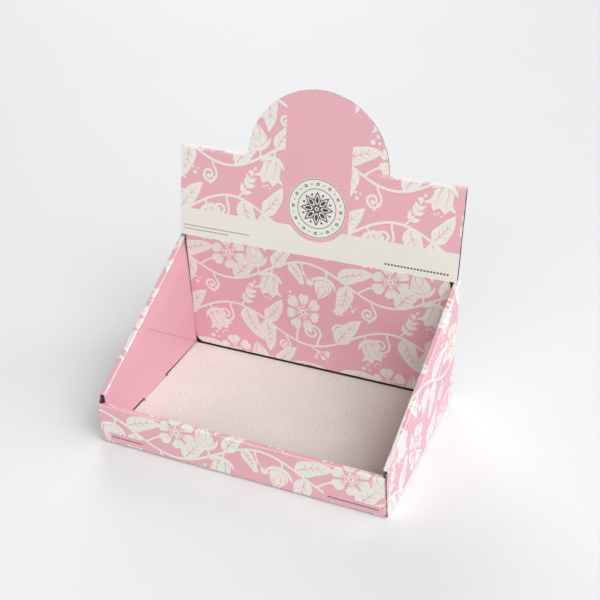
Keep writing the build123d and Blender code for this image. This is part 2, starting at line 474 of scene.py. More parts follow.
def bendMarks(profile):
    # places of the lines round each bend, with one each side where the flattened board ends
    marks = []
    for start, end in profile["bends"]:
        steps = max(2, round(blank["bendSteps"] * (end - start) / quarterBend))
        marks.append(start - blank["foldReach"])
        marks += [start + (end - start) * k / steps for k in range(steps + 1)]
        marks.append(end + blank["foldReach"])
    return marks


def creaseLines():
    lines = []
    archGap = blank["arch"] + blank["archCut"]
    for v in bendMarks(rearProfile):
        half = cornerBend if v < hingeAt else halfWidth
        half = tuckHalf if v > footAt else half
        inside = math.sqrt(archGap ** 2 - (archAt - v) ** 2) if archAt - archGap < v < archAt else 0.0
        if inside:
            lines += [[(inside, v), (half, v)], [(-half, v), (-inside, v)]]
        else:
            lines.append([(-half, v), (half, v)])
    # mesh line where the painted highlight band below the header's top fold ends
    highlightFoot = archAt + blank["topHighlight"]
    lines += [[(side * blank["arch"], highlightFoot), (side * halfWidth, highlightFoot)] for side in (-1, 1)]
    lines += [[(-cornerBend, -s), (cornerBend, -s)] for s in bendMarks(frontProfile)]
    right = [[(u, -halfDepth), (u, halfDepth)] for u in bendMarks(sideProfile)]
    for s in bendMarks(rollProfile):
        right.append([onSlope(-slopeReach, s - rollLead), onSlope(slopeReach, s - rollLead)])
    right += [[(u, -wallRise - blank["lip"]), (u, -wallRise)] for u in bendMarks(frontCorner)]
    right += [[(u, wallRise), (u, wallRise + blank["sideRear"])] for u in bendMarks(rearCorner)]
    # lines where the painted shade behind the tuck flap fades in on the inner plies
    shadeFade = (-blank["shadeFade"], blank["shadeFade"])
    heights = (innerFoot, sideTop(tuckFace) - board)
    right += [[rolledOver(tuckFace + part, z) for z in heights] for part in shadeFade]
    ends = (rearFlapFront - cardBow["printFade"], cardBow["printEnd"])
    for k in range(cardBow["printSteps"] + 1):
        up = cardBow["printRise"] * k / cardBow["printSteps"]
        right.append([rolledOver(y, flapEdge(y) + up) for y in ends])
    lines += [[(side * u, v) for u, v in line] for side in (-1, 1) for line in right]
    # floor lines where the painted shade fades in under the walls and the tuck flap
    for part in shadeFade:
        edge = innerFace + part
        lines += [[(side * edge, -lipEdge), (side * edge, tuckFace)] for side in (-1, 1)]
        lines += [[(-innerFace, v), (innerFace, v)] for v in (-lipEdge - part, tuckFace + part)]
    return lines


def insideShape(points, shape):
    x, y = points[:, 0], points[:, 1]
    inside = np.zeros(len(points), bool)
    x0, y0 = shape[-1]
    for x1, y1 in shape:
        if y0 != y1:
            inside ^= ((y0 > y) != (y1 > y)) & (x < (x1 - x0) * (y - y0) / (y1 - y0) + x0)
        x0, y0 = x1, y1
    return inside


def panelOf(points):
    found = np.full(len(points), -1)
    for i, name in enumerate(panelNames):
        outline, *holes = panels[name][0]
        here = insideShape(points, outline)
        for hole in holes:
            here &= ~insideShape(points, hole)
        found[here & (found < 0)] = i
    return found


print("blank drawn flat, {} panels".format(len(panelNames)))


# The print: leaves and blossoms on waving stems, white on a pink ground

printDesign = {
    "tile": (148.0, 104.0),
    "stemWidth": 2.2,
    "slit": 0.8,  # width of a vein or petal line
    "stems": [(0.24, 0.14, 0.22), (0.77, -0.14, 0.20)],  # height, swing and crest as shares of the tile
    "bandLeft": -28.0,  # plain band up the middle of the header
    "bandRight": 30.4,
    "creamTop": 24.6,  # plain pale band along the header's foot
    "headerShift": (38.0, -102.0),  # where the pattern starts on each panel
    "backShift": (10.0, 4.0),
    "frontShift": (64.0, -62.0),
    "sideShift": (30.0, -22.0),
    "headerRules": [  # broken rules: from, to, height, length of a stitch and its thickness
        (64.0, 119.0, 4.6, 1.7, 1.5), (-121.0, -58.0, 8.6, 1.1, 0.8), (-121.0, -78.0, 5.4, 1.1, 0.8)],
    "frontRules": [(-113.0, -85.0, 6.4, 1.2, 1.5), (76.0, 118.0, 5.4, 1.2, 1.5)],
    "frontPatches": [(-115.0, 3.0, -83.0, 11.0), (73.0, 2.6, cornerBend, 9.6)],  # plain ground under them
    "stitchStep": 1.6,  # in lengths of a stitch
}


def smoothLine(points, steps):
    # a curve through a few points
    line = []
    last = len(points) - 1
    for i in range(last):
        near = [points[max(i - 1, 0)], points[i], points[i + 1], points[min(i + 2, last)]]
        for k in range(steps):
            t = k / steps
            weights = (-t + 2 * t ** 2 - t ** 3, 2 - 5 * t ** 2 + 3 * t ** 3,
                       t + 4 * t ** 2 - 3 * t ** 3, t ** 3 - t ** 2)
            line.append(tuple(sum(w * p[axis] for w, p in zip(weights, near)) / 2 for axis in (0, 1)))
    line.append(tuple(points[-1]))
    return line


def joined(steps, *curves):
    # one line through curves that each start where the last one ends
    line = []
    for curve in curves:
        line = line[:-1] + smoothLine(curve, steps)
    return line


def ribbon(line, startWidth, endWidth, swell=0.0):
    # a stroke along a line that changes its width on the way
    left, right = [], []
    last = len(line) - 1
    for i, (x, y) in enumerate(line):
        ax, ay = line[max(i - 1, 0)]
        bx, by = line[min(i + 1, last)]
        length = math.hypot(bx - ax, by - ay)
        t = i / last
        half = (startWidth + (endWidth - startWidth) * t + swell * math.sin(math.pi * t)) / 2
        sideX, sideY = -(by - ay) / length * half, (bx - ax) / length * half
        left.append((x + sideX, y + sideY))
        right.append((x - sideX, y - sideY))
    return left + right[::-1]


def slitLine(line, startShare, endShare):
    return ("pink", ribbon(line, startShare * printDesign["slit"], endShare * printDesign["slit"]))


def disc(x, y, radius, steps=18):
    return arcPoints(x, y, radius, 0, 360 - 360 / steps, steps - 1)


def scaled(points, size, flip=1):
    return [(flip * size * x, size * y) for x, y in points]


def placed(shapes, x, y, angle, flip=1):
    c, s = math.cos(angle), math.sin(angle)
    return [(ink, [(x + px * c - flip * py * s, y + px * s + flip * py * c) for px, py in points])
            for ink, points in shapes]


def heading(start, end):
    return math.atan2(end[1] - start[1], end[0] - start[0])


leafDesign = {
    "steps": 12,
    "fullest": 0.7,  # below 1 the widest place is nearer the stalk
    "bluntness": 0.9,
    "ripple": (0.1, 9.5),  # depth and pace of the waves in its edge
    "lowerHalf": 0.92,
    "veins": (0.22, 0.42, 0.62),
    "veinTurn": 0.85,
    "veinReach": 0.9,
    "veinBow": 0.024,
    "ribWidth": (1.1, 0.3),  # at its start and end, in slit widths
    "veinWidth": (0.9, 0.2),
}


def leaf(length, width, bow=0.25):
    # pointed leaf that grows along x, with a slit for its rib and three pairs of veins
    steps = leafDesign["steps"]
    spine = [(length * k / steps, bow * length * (k / steps) ** 2) for k in range(steps + 1)]
    depth, pace = leafDesign["ripple"]

    def halfAt(t):
        bulge = math.sin(math.pi * t ** leafDesign["fullest"]) ** leafDesign["bluntness"]
        return width / 2 * bulge * (1 + depth * math.sin(pace * t))

    upper, lower = [], []
    for k in range(1, steps):
        t = k / steps
        x, y = spine[k]
        slope = math.atan(2 * bow * t)
        half, lowHalf = halfAt(t), halfAt(t) * leafDesign["lowerHalf"]
        upper.append((x - math.sin(slope) * half, y + math.cos(slope) * half))
        lower.append((x + math.sin(slope) * lowHalf, y - math.cos(slope) * lowHalf))
    shapes = [("white", [spine[0]] + lower + [spine[-1]] + upper[::-1])]
    shapes.append(slitLine(spine[1:steps - 1], *leafDesign["ribWidth"]))
    for t in leafDesign["veins"]:
        x, y = spine[round(t * steps)]
        for side in (-1, 1):
            angle = math.atan(2 * bow * t) + side * leafDesign["veinTurn"]
            tip = onRing(x, y, halfAt(t) * leafDesign["veinReach"], angle)
            middle = ((x + tip[0]) / 2 + leafDesign["veinBow"] * length, (y + tip[1]) / 2)
            shapes.append(slitLine(smoothLine([(x, y), middle, tip], 2), *leafDesign["veinWidth"]))
    return shapes


curlDesign = {
    "steps": 14,  # in one turn
    "lead": [(0, 0), (0.6, 0.24), (1.2, 0.3)],
    "middle": (1.2, 1.3),
    "winding": 0.78,  # share of its radius that it loses on the way in
    "width": (0.8, 0.9, 0.3),  # start, end and swell
}


def curl(radius, turns, width):
    # a tendril that leaves its stem along x and winds up to a round end
    steps = round(curlDesign["steps"] * turns)
    line = smoothLine(scaled(curlDesign["lead"], radius), 3)[:-1]
    middle = scaled([curlDesign["middle"]], radius)[0]
    for k in range(steps + 1):
        t = k / steps
        angle = 2 * math.pi * turns * t - math.pi / 2
        line.append(onRing(*middle, radius * (1 - curlDesign["winding"] * t), angle))
    stroke = ribbon(line, *(share * width for share in curlDesign["width"]))
    return [("white", stroke), ("white", disc(*line[-1], width, 14))]


flowerDesign = {
    "squash": 0.86,  # foreshortening
    "middle": 0.9,  # how far its middle is from the stalk, in radii
    "petal": [
        (0.24, 0.25), (0.42, 0.54), (0.62, 0.78), (0.82, 0.82), (0.95, 0.56), (1.0, 0.23), (0.93, 0.0)],
    "turn": 0.2,
    "uneven": (0.07, 2.3),  # how much and how fast the petals' lengths vary
    "lines": ((0, 0.70), (0.38, 0.56), (-0.38, 0.56)),  # swing and end of the lines on a petal
    "lineStart": (0.34, 0.48),
    "lineSwing": 0.4,
    "lineWidth": (0.95, 0.2),
    "stamens": 9,
    "stamenRing": 0.27,
    "stamen": (0.035, 0.25),  # share of the radius, and what is added to it
    "eye": (("white", 0.17, 16), ("pink", 0.075, 10)),
}


def openFlower(radius, petals):
    # a flower seen from the front, a little foreshortened, that starts at 0, 0
    squash = flowerDesign["squash"]
    middle = radius * flowerDesign["middle"]
    edge = smoothLine(flowerDesign["petal"], 2)
    much, fast = flowerDesign["uneven"]
    shapes = []
    for i in range(petals):
        turn = 2 * math.pi * i / petals + flowerDesign["turn"]
        length = radius * (1 + much * math.sin(fast * i))

        def petalPoint(share, swing):
            angle = turn + swing * math.pi / petals
            return (middle + length * share * math.cos(angle), squash * length * share * math.sin(angle))

        outline = [petalPoint(r, s) for r, s in edge] + [petalPoint(r, -s) for r, s in edge[-2::-1]]
        shapes.append(("white", outline))
        for swing, tip in flowerDesign["lines"]:
            shares = (*flowerDesign["lineStart"], tip)
            line = [petalPoint(r, swing * (flowerDesign["lineSwing"] + r)) for r in shares]
            shapes.append(slitLine(line, *flowerDesign["lineWidth"]))
    outerEye, innerEye = [(ink, disc(middle, 0, radius * share, steps))
                          for ink, share, steps in flowerDesign["eye"]]
    shapes.append(outerEye)
    ring = radius * flowerDesign["stamenRing"]
    stamen = radius * flowerDesign["stamen"][0] + flowerDesign["stamen"][1]
    for i in range(flowerDesign["stamens"]):
        x, y = onRing(0, 0, ring, 2 * math.pi * i / flowerDesign["stamens"])
        shapes.append(("white", disc(middle + x, squash * y, stamen, 6)))
    shapes.append(innerEye)
    return shapes


bellDesign = {
    "side": [(0, 0), (0.20, -0.06), (0.34, -0.26), (0.36, -0.50), (0.42, -0.70), (0.60, -0.86)],
    "mouth": [
        [(0.60, -0.86), (0.46, -0.87), (0.36, -0.83)],
        [(0.36, -0.83), (0.27, -0.98), (0.20, -1.06)],
        [(0.20, -1.06), (0.13, -0.99), (0.0, -0.90)],
    ],
    "fold": [(0.10, -0.14), (0.17, -0.42), (0.16, -0.66), (0.22, -0.84)],
    "sepalTop": [(0.0, 0.05), (0.20, 0.02), (0.40, -0.12), (0.50, -0.34)],
    "sepalFoot": [(0.50, -0.34), (0.34, -0.24), (0.20, -0.15), (0.0, -0.12)],
    "sepalEdge": [(0.06, -0.145), (0.20, -0.19), (0.34, -0.285), (0.44, -0.36)],
    "drops": ((0.0, -1.09), (-0.12, -1.16), (0.12, -1.16)),
    "dropSize": 0.95,
    "foldWidth": (1.1, 0.3),
    "edgeWidth": (0.9, 0.4),
}
budDesign = {
    "right": [(0, 0), (0.22, 0.06), (0.36, 0.26), (0.34, 0.50), (0.20, 0.76), (0.02, 1.0)],
    "left": [(0.02, 1.0), (-0.16, 0.80), (-0.32, 0.54), (-0.36, 0.28), (-0.22, 0.06), (0, 0)],
    "folds": [  # with the width they start with
        ([(0.02, 0.93), (-0.12, 0.66), (-0.10, 0.40), (0.12, 0.22)], 1.2),
        ([(0.06, 0.84), (0.16, 0.62), (0.10, 0.44), (-0.02, 0.36)], 1.0),
        ([(-0.27, 0.56), (-0.25, 0.38), (-0.14, 0.22)], 0.9),
    ],
    "sepalFoot": [(0.0, -0.10), (0.26, -0.04), (0.46, 0.14), (0.54, 0.36)],
    "sepalTop": [(0.54, 0.36), (0.38, 0.22), (0.20, 0.10), (0.0, 0.04)],
    "sepalEdge": [(0.06, 0.07), (0.21, 0.135), (0.37, 0.25)],
    "foldEnd": 0.3,
    "edgeWidth": (0.9, 0.4),
}


def bellFlower(size):
    # a bell seen from the side, with its mouth along x
    side = smoothLine(bellDesign["side"], 3) + joined(2, *bellDesign["mouth"])[1:]
    shapes = [("white", scaled(side + [(-x, y) for x, y in side[-2:0:-1]], size))]
    sepal = joined(3, bellDesign["sepalTop"], bellDesign["sepalFoot"])
    for flip in (-1, 1):
        fold = scaled(smoothLine(bellDesign["fold"], 3), size, flip)
        shapes.append(slitLine(fold, *bellDesign["foldWidth"]))
        shapes.append(("white", scaled(sepal, size, flip)))
        sepalEdge = scaled(smoothLine(bellDesign["sepalEdge"], 2), size, flip)
        shapes.append(slitLine(sepalEdge, *bellDesign["edgeWidth"]))
    for drop in scaled(bellDesign["drops"], size):
        shapes.append(("white", disc(*drop, bellDesign["dropSize"], 10)))
    return placed(shapes, 0, 0, math.pi / 2)


def roseBud(size):
    # a closed bud between two sepals, with its tip along x
    shapes = [("white", scaled(joined(3, budDesign["right"], budDesign["left"])[:-1], size))]
    for points, wide in budDesign["folds"]:
        shapes.append(slitLine(scaled(smoothLine(points, 3), size), wide, budDesign["foldEnd"]))
    sepal = joined(3, budDesign["sepalFoot"], budDesign["sepalTop"])
    for flip in (-1, 1):
        shapes.append(("white", scaled(sepal, size, flip)))
        sepalEdge = scaled(smoothLine(budDesign["sepalEdge"], 3), size, flip)
        shapes.append(slitLine(sepalEdge, *budDesign["edgeWidth"]))
    return placed(shapes, 0, 0, -math.pi / 2)


twigDesign = {
    "leafletPlaces": (0, 0.15, 0.35, 0.6, 0.82, 1.0),
    "leafletHalf": 0.24,
    "leafletFullest": 0.75,
    "sprig": [(0, 0), (0.35, 0.05), (0.7, 0.16), (1, 0.34)],
    "sprigWidth": (1.8, 0.8),
    "firstPair": 0.25,
    "shrink": 0.35,
    "pairTurn": 0.75,
    "fork": (0.55, 0.10),
    "forkStalk": (0.3, 0.01),
    "forkWidth": (1.7, 1.2),
    "berries": ((1.0, 0.42, 0.19), (1.08, -0.02, 0.15), (0.72, -0.34, 0.13)),  # place and radius
    "berrySag": 0.05,
    "berryWidth": (1.2, 0.9),
    "glint": 0.62,
    "glintArc": (126, 218, 4),
    "glintWidth": (0.3, 0.3, 0.7),
    "dots": ((0, 0, 0.5, 14), (1.25, 0.75, 0.36, 12), (1.2, -0.55, 0.28, 10)),  # place, radius and corners
    "stalkBow": 0.10,
    "stalkTip": 0.5,
    "stalkWidth": (1.9, 1.6),
}


def leaflet(length):
    wide = twigDesign["leafletHalf"] * length
    edge = [(length * t, wide * math.sin(math.pi * t ** twigDesign["leafletFullest"]))
            for t in twigDesign["leafletPlaces"]]
    return edge + [(x, -y) for x, y in edge[-2:0:-1]]


def sprig(length, pairs, leafLength):
    # a bowed stem with small paired leaves
    line = smoothLine(scaled(twigDesign["sprig"], length), 5)
    shapes = [("white", ribbon(line, *twigDesign["sprigWidth"]))]
    last = len(line) - 1
    for k in range(pairs + 1):
        t = twigDesign["firstPair"] + (1 - twigDesign["firstPair"]) * k / pairs
        i = min(round(t * last), last - 1)
        angle = heading(line[i], line[i + 1])
        small = [("white", leaflet(leafLength * (1 - twigDesign["shrink"] * t)))]
        for side in (-1, 1) if k < pairs else (0,):
            shapes += placed(small, *line[i], angle + side * twigDesign["pairTurn"])
    return shapes


def berries(size):
    # three berries on a forked stalk, each with a small glint
    stalk, fork = scaled([twigDesign["forkStalk"], twigDesign["fork"]], size)
    shapes = [("white", ribbon(smoothLine([(0, 0), stalk, fork], 4), *twigDesign["forkWidth"]))]
    for x, y, share in twigDesign["berries"]:
        tip = (x * size, y * size)
        middle = ((fork[0] + tip[0]) / 2, (fork[1] + tip[1]) / 2 - twigDesign["berrySag"] * size)
        shapes.append(("white", ribbon(smoothLine([fork, middle, tip], 3), *twigDesign["berryWidth"])))
        shapes.append(("white", disc(*tip, share * size, 16)))
        glint = arcPoints(*tip, twigDesign["glint"] * share * size, *twigDesign["glintArc"])
        shapes.append(("pink", ribbon(glint, *twigDesign["glintWidth"])))
    return shapes


def dots(size):
    return [("white", disc(x * size, y * size, share * size, steps))
            for x, y, share, steps in twigDesign["dots"]]


def stalked(head, length, bow):
    middle = (length / 2, twigDesign["stalkBow"] * bow * length)
    line = smoothLine([(0, 0), middle, (length, twigDesign["stalkTip"] * bow * length)], 4)
    stalk = ribbon(line, *twigDesign["stalkWidth"])
    return [("white", stalk)] + placed(head, *line[-1], heading(line[-2], line[-1]))


def stemPoint(stem, share):
    height, swing, crest = printDesign["stems"][stem]
    wide, tall = printDesign["tile"]
    angle = 2 * math.pi * (share - crest)
    slope = -2 * math.pi * tall * swing * math.sin(angle) / wide
    return wide * share, tall * (height + swing * math.cos(angle)), math.atan(slope)


# what grows on the stems: stem, place along it, turn from it in degrees, handing
grown = [
    (0, 0.635, 112, 1, stalked(openFlower(19, 7), 15, -0.4)),
    (1, 0.49, -118, 1, stalked(bellFlower(23), 6, -0.3)),
    (0, 0.43, 70, 1, leaf(29, 15, 0.3)),
    (0, 0.43, -38, -1, leaf(33, 16, 0.3)),
    (1, 0.83, -58, 1, stalked(roseBud(22), 8, -0.5)),
    (1, 0.955, -62, -1, leaf(33, 16, 0.25)),
    (0, 0.765, 52, 1, curl(8.5, 1.5, 2.0)),
    (0, 0.89, 38, -1, leaf(36, 17, 0.25)),
    (1, 0.68, -96, 1, berries(18)),
    (1, 0.60, -62, -1, leaf(22, 11, 0.3)),
    (1, 0.02, 72, 1, stalked(openFlower(18, 6), 17, -0.3)),
    (0, 0.055, -78, -1, stalked(bellFlower(22), 5, 0.3)),
    (1, 0.25, 52, -1, leaf(34, 16, 0.3)),
    (1, 0.40, 50, 1, stalked(roseBud(23), 8, 0.5)),
    (0, 0.30, -58, -1, leaf(36, 17, -0.22)),
    (0, 0.20, -70, -1, curl(8.5, 1.5, 2.0)),
    (1, 0.50, 38, -1, leaf(30, 14, 0.3)),
    (1, 0.10, -34, -1, curl(7.5, 1.4, 1.9)),
    (0, 0.27, 52, 1, sprig(23, 3, 10)),
    (1, 0.90, 62, -1, leaf(34, 16, 0.25)),
    (0, 0.56, -24, -1, curl(6.0, 1.3, 1.8)),
    (0, 0.72, -40, 1, berries(15)),
    (0, 0.97, 66, 1, curl(7.0, 1.4, 1.9)),
]
# loose groups of dots: place in the tile as shares, size, turn
looseDots = [
    (0.885, 0.50, 4.5, 0), (0.115, 0.50, 3.6, 200), (0.345, 0.60, 3.8, 10), (0.80, 0.99, 3.6, 0),
    (0.60, 0.56, 3.4, 60), (0.06, 0.985, 4.2, 20), (0.99, 0.53, 3.4, 80),
]


def tileShapes():
    shapes = []
    steps = 24
    for stem in (0, 1):
        line = [stemPoint(stem, k / steps)[:2] for k in range(steps + 1)]
        shapes.append(("white", ribbon(line, printDesign["stemWidth"], printDesign["stemWidth"])))
    for stem, share, turn, flip, motif in grown:
        x, y, angle = stemPoint(stem, share)
        shapes += placed(motif, x, y, angle + math.radians(turn), flip)
    wide, tall = printDesign["tile"]
    for shareX, shareY, size, turn in looseDots:
        shapes += placed(dots(size), shareX * wide, shareY * tall, math.radians(turn))
    return shapes


tile = tileShapes()


def clipped(points, axis, limit, keep):
    # what lies above the limit, or below it where keep is -1
    out = []
    for i, here in enumerate(points):
        before = points[i - 1]
        sides = [(p[axis] - limit) * keep for p in (before, here)]
        if (sides[0] >= 0) != (sides[1] >= 0):
            t = sides[0] / (sides[0] - sides[1])
            out.append((before[0] + (here[0] - before[0]) * t, before[1] + (here[1] - before[1]) * t))
        if sides[1] >= 0:
            out.append(here)
    return out


def patterned(low, high, shift):
    # the repeating pattern over a rectangle of a panel
    wide, tall = printDesign["tile"]
    shapes = []
    for ink, points in tile:
        spans = []
        for axis, period in enumerate((wide, tall)):
            reach = [p[axis] for p in points]
            first = math.floor((low[axis] - shift[axis] - max(reach)) / period)
            last = math.ceil((high[axis] - shift[axis] - min(reach)) / period)
            spans.append(range(first, last + 1))
        for i, j in [(i, j) for i in spans[0] for j in spans[1]]:
            moved = [(x + shift[0] + i * wide, y + shift[1] + j * tall) for x, y in points]
            for axis in (0, 1):
                moved = clipped(clipped(moved, axis, low[axis], 1), axis, high[axis], -1)
            if len(moved) > 2:
                shapes.append((ink, moved))
    return shapes


roundelDesign = {
    "middle": (2.2, 42.2),
    "ground": 28.8,
    "radius": 25.8,
    "inner": 17.2,
    "rule": 0.55,
    "ringSteps": 72,
    "beads": 24,
    "beadShift": -0.4,
    "bead": 1.35,
    "beadHole": 0.6,
    "petals": 8,
    "leaflets": (("ink", 13.0, 1.8), ("white", 9.6, 3.2), ("ink", 6.4, 4.6)),  # length and distance out
    "berryAt": 12.6,
    "stalk": (7.5, 11.0),
    "stalkWidth": 0.5,
    "eye": (("ink", 2.6, 20), ("white", 1.9, 20), ("ink", 1.0, 12)),
}


def roundel():
    # a ringed rosette in the middle of the header
    middle = roundelDesign["middle"]
    outer, inner, rule = (roundelDesign[part] for part in ("radius", "inner", "rule"))
    rings = [("pink", roundelDesign["ground"]), ("white", outer), ("ink", outer - rule)]
    rings += [("white", outer - rule - rule), ("ink", inner), ("white", inner - rule)]
    shapes = [(ink, disc(*middle, radius, roundelDesign["ringSteps"])) for ink, radius in rings]
    beadRing = (outer + inner) / 2 + roundelDesign["beadShift"]
    for k in range(roundelDesign["beads"]):
        spot = onRing(*middle, beadRing, 2 * math.pi * k / roundelDesign["beads"])
        size = roundelDesign["beadHole"] if k % 2 else roundelDesign["bead"]
        shapes.append(("ink", disc(*spot, size, 12)))
        if k % 2 == 0:
            shapes.append(("white", disc(*spot, roundelDesign["beadHole"], 8)))
    for k in range(roundelDesign["petals"]):
        angle = 2 * math.pi * k / roundelDesign["petals"]
        for ink, length, out in roundelDesign["leaflets"]:
            shapes += placed([(ink, leaflet(length))], *onRing(*middle, out, angle), angle)
        between = angle + math.pi / roundelDesign["petals"]
        shapes.append(("ink", disc(*onRing(*middle, roundelDesign["berryAt"], between), 1.0, 10)))
        stalk = [onRing(*middle, out, between) for out in roundelDesign["stalk"]]
        shapes.append(("ink", ribbon(stalk, roundelDesign["stalkWidth"], roundelDesign["stalkWidth"])))
    return shapes + [(ink, disc(*middle, radius, steps)) for ink, radius, steps in roundelDesign["eye"]]


def stitchRule(x0, x1, y, length, tall):
    # a fine broken rule
    count = round((x1 - x0) / (printDesign["stitchStep"] * length))
    step = (x1 - x0) / count
    return [("ink", rectangle(x0 + step * k, y, x0 + step * k + length, y + tall)) for k in range(count)]


def headerPrint():
    # measured from the middle of the header's foot crease, upwards
    top = footAt - stripAt
    band = (printDesign["bandLeft"], printDesign["creamTop"], printDesign["bandRight"], top)
    shapes = patterned((-halfWidth, footAt - tuckEnd), (halfWidth, top), printDesign["headerShift"])
    shapes.append(("pink", rectangle(*band)))
    shapes.append(("white", rectangle(-halfWidth, 0.0, halfWidth, printDesign["creamTop"])))
    shapes += roundel()
    for rule in printDesign["headerRules"]:
        shapes += stitchRule(*rule)
    return [(ink, [(x, footAt - y) for x, y in points]) for ink, points in shapes]


def archPrint():
    foot = footAt - archAt
    top = foot + blank["arch"]
    shapes = patterned((-blank["arch"], foot), (blank["arch"], top), printDesign["headerShift"])
    shapes.append(("pink", rectangle(printDesign["bandLeft"], foot, printDesign["bandRight"], top)))
    return [(ink, [(x, footAt - y) for x, y in points]) for ink, points in shapes]


def backPrint():
    # the back wall, the rear leaf and half of the strip along the header's top
    start = halfDepth - foldRadius
    shapes = patterned((-halfWidth, 0), (halfWidth, stripAt - start), printDesign["backShift"])
    return [(ink, [(-x, start + y) for x, y in points]) for ink, points in shapes]


def frontPrint():
    # the front wall and its lip, measured up from the floor's edge
    start = halfDepth - foldRadius
    top = frontProfile["bends"][2][1] - start
    shapes = patterned((-cornerBend, 0), (cornerBend, top), printDesign["frontShift"])
    shapes += [("pink", rectangle(*patch)) for patch in printDesign["frontPatches"]]
    for rule in printDesign["frontRules"]:
        shapes += stitchRule(*rule)
    return [(ink, [(x, -start - y) for x, y in points]) for ink, points in shapes]


def sidePrint(side):
    # a side wall and its sloping strip, seen from outside; the inner ply stays plain
    start = halfWidth - foldRadius
    shiftX, shiftY = printDesign["sideShift"]
    top = blank["sideRear"] + doubleWall
    shapes = patterned((-halfDepth, 0), (halfDepth, top), (shiftX * side, shiftY))
    shapes = [(ink, [(side * (start + y), side * x) for x, y in points]) for ink, points in shapes]
    plain = [onSlope(*spot) for spot in rectangle(-slopeReach, rolledAt, slopeReach, 2 * slopeReach)]
    shapes.append(("pink", [(side * u, v) for u, v in plain]))
    return shapes


fields = {
    "rear": backPrint() + headerPrint(),
    "arch": archPrint(),
    "front": frontPrint(),
    "rightSide": sidePrint(1),
    "leftSide": sidePrint(-1),
}
inks = ["pink", "white", "ink"]
print("print laid out, {} shapes".format(sum(len(s) for s in fields.values())))


# Cutting the blank into triangles along its outline, its folds and the print

def triangulated(lines, loosePoints):
    points = []
    edges = []
    for line, closed in lines:
        first = len(points)
        points += line
        edges += [(first + k, first + k + 1) for k in range(len(line) - 1)]
        if closed:
            edges.append((first + len(line) - 1, first))
    points += loosePoints
    made = delaunay_2d_cdt([Vector(p) for p in points], edges, [], 0, blank["weld"], False)
    spots = np.array([tuple(p) for p in made[0]])
    corners = np.array([tuple(f) for f in made[2]])
    a, b, c = spots[corners[:, 0]], spots[corners[:, 1]], spots[corners[:, 2]]
    area = (b[:, 0] - a[:, 0]) * (c[:, 1] - a[:, 1]) - (b[:, 1] - a[:, 1]) * (c[:, 0] - a[:, 0])
    corners[area < 0] = corners[area < 0][:, ::-1]
    place = panelOf((a + b + c) / 3)
    keep = (place >= 0) & (np.abs(area) > blank["leastArea"])
    return spots, corners[keep], place[keep]


def gridPoints():
    step = blank["gridStep"]
    found = []
    for i, name in enumerate(panelNames):
        outline = np.array(panels[name][0][0])
        low, high = outline.min(0), outline.max(0)
        across = np.arange(low[0] + step / 2, high[0], step)
        up = np.arange(low[1] + step / 2, high[1], step)
        grid = np.stack(np.meshgrid(across, up), -1).reshape(-1, 2)
        found += [tuple(p) for p in grid[panelOf(grid) == i]]
    return found


outlineLines = [(loop, True) for name in panelNames for loop in panels[name][0]]
foldLines = [(line, False) for line in creaseLines()]
printLines = [(points, True) for shapes in fields.values() for ink, points in shapes]
grid = gridPoints()
faceSpots, faceTris, facePanels = triangulated(outlineLines + foldLines + printLines, grid)
print("printed side cut, {} triangles".format(len(faceTris)))


def openEdges(tris):
    # edges that only one triangle has, in that triangle's direction
    pairs = np.concatenate([tris[:, [0, 1]], tris[:, [1, 2]], tris[:, [2, 0]]])
    index, count = np.unique(np.sort(pairs, 1), axis=0, return_index=True, return_counts=True)[1:]
    return pairs[index[count == 1]]


rim = openEdges(faceTris)
rimLines = [([tuple(faceSpots[a]), tuple(faceSpots[b])], False) for a, b in rim]
linerSpots, linerTris, linerPanels = triangulated(rimLines + foldLines, grid)
print("liner side cut, {} triangles".format(len(linerTris)))

middles = faceSpots[faceTris].mean(1)
faceInks = np.zeros(len(faceTris), int)
faceInks[facePanels == panelNames.index("floor")] = inks.index("white")
for name, shapes in fields.items():
    mine = np.flatnonzero(facePanels == panelNames.index(name))
    for ink, points in shapes:
        low, high = np.min(points, 0), np.max(points, 0)
        near = mine[((middles[mine] >= low) & (middles[mine] <= high)).all(1)]
        faceInks[near[insideShape(middles[near], points)]] = inks.index(ink)
print("inks: " + ", ".join("{} {}".format(ink, (faceInks == k).sum()) for k, ink in enumerate(inks)))


# Folding, with the slight bow and pull that the card takes

def share(value, whole):
    return np.clip(value / whole, 0, 1)


def smooth(value, start, end):
    t = np.clip((value - start) / (end - start), 0, 1)
    return t * t * (3 - 2 * t)


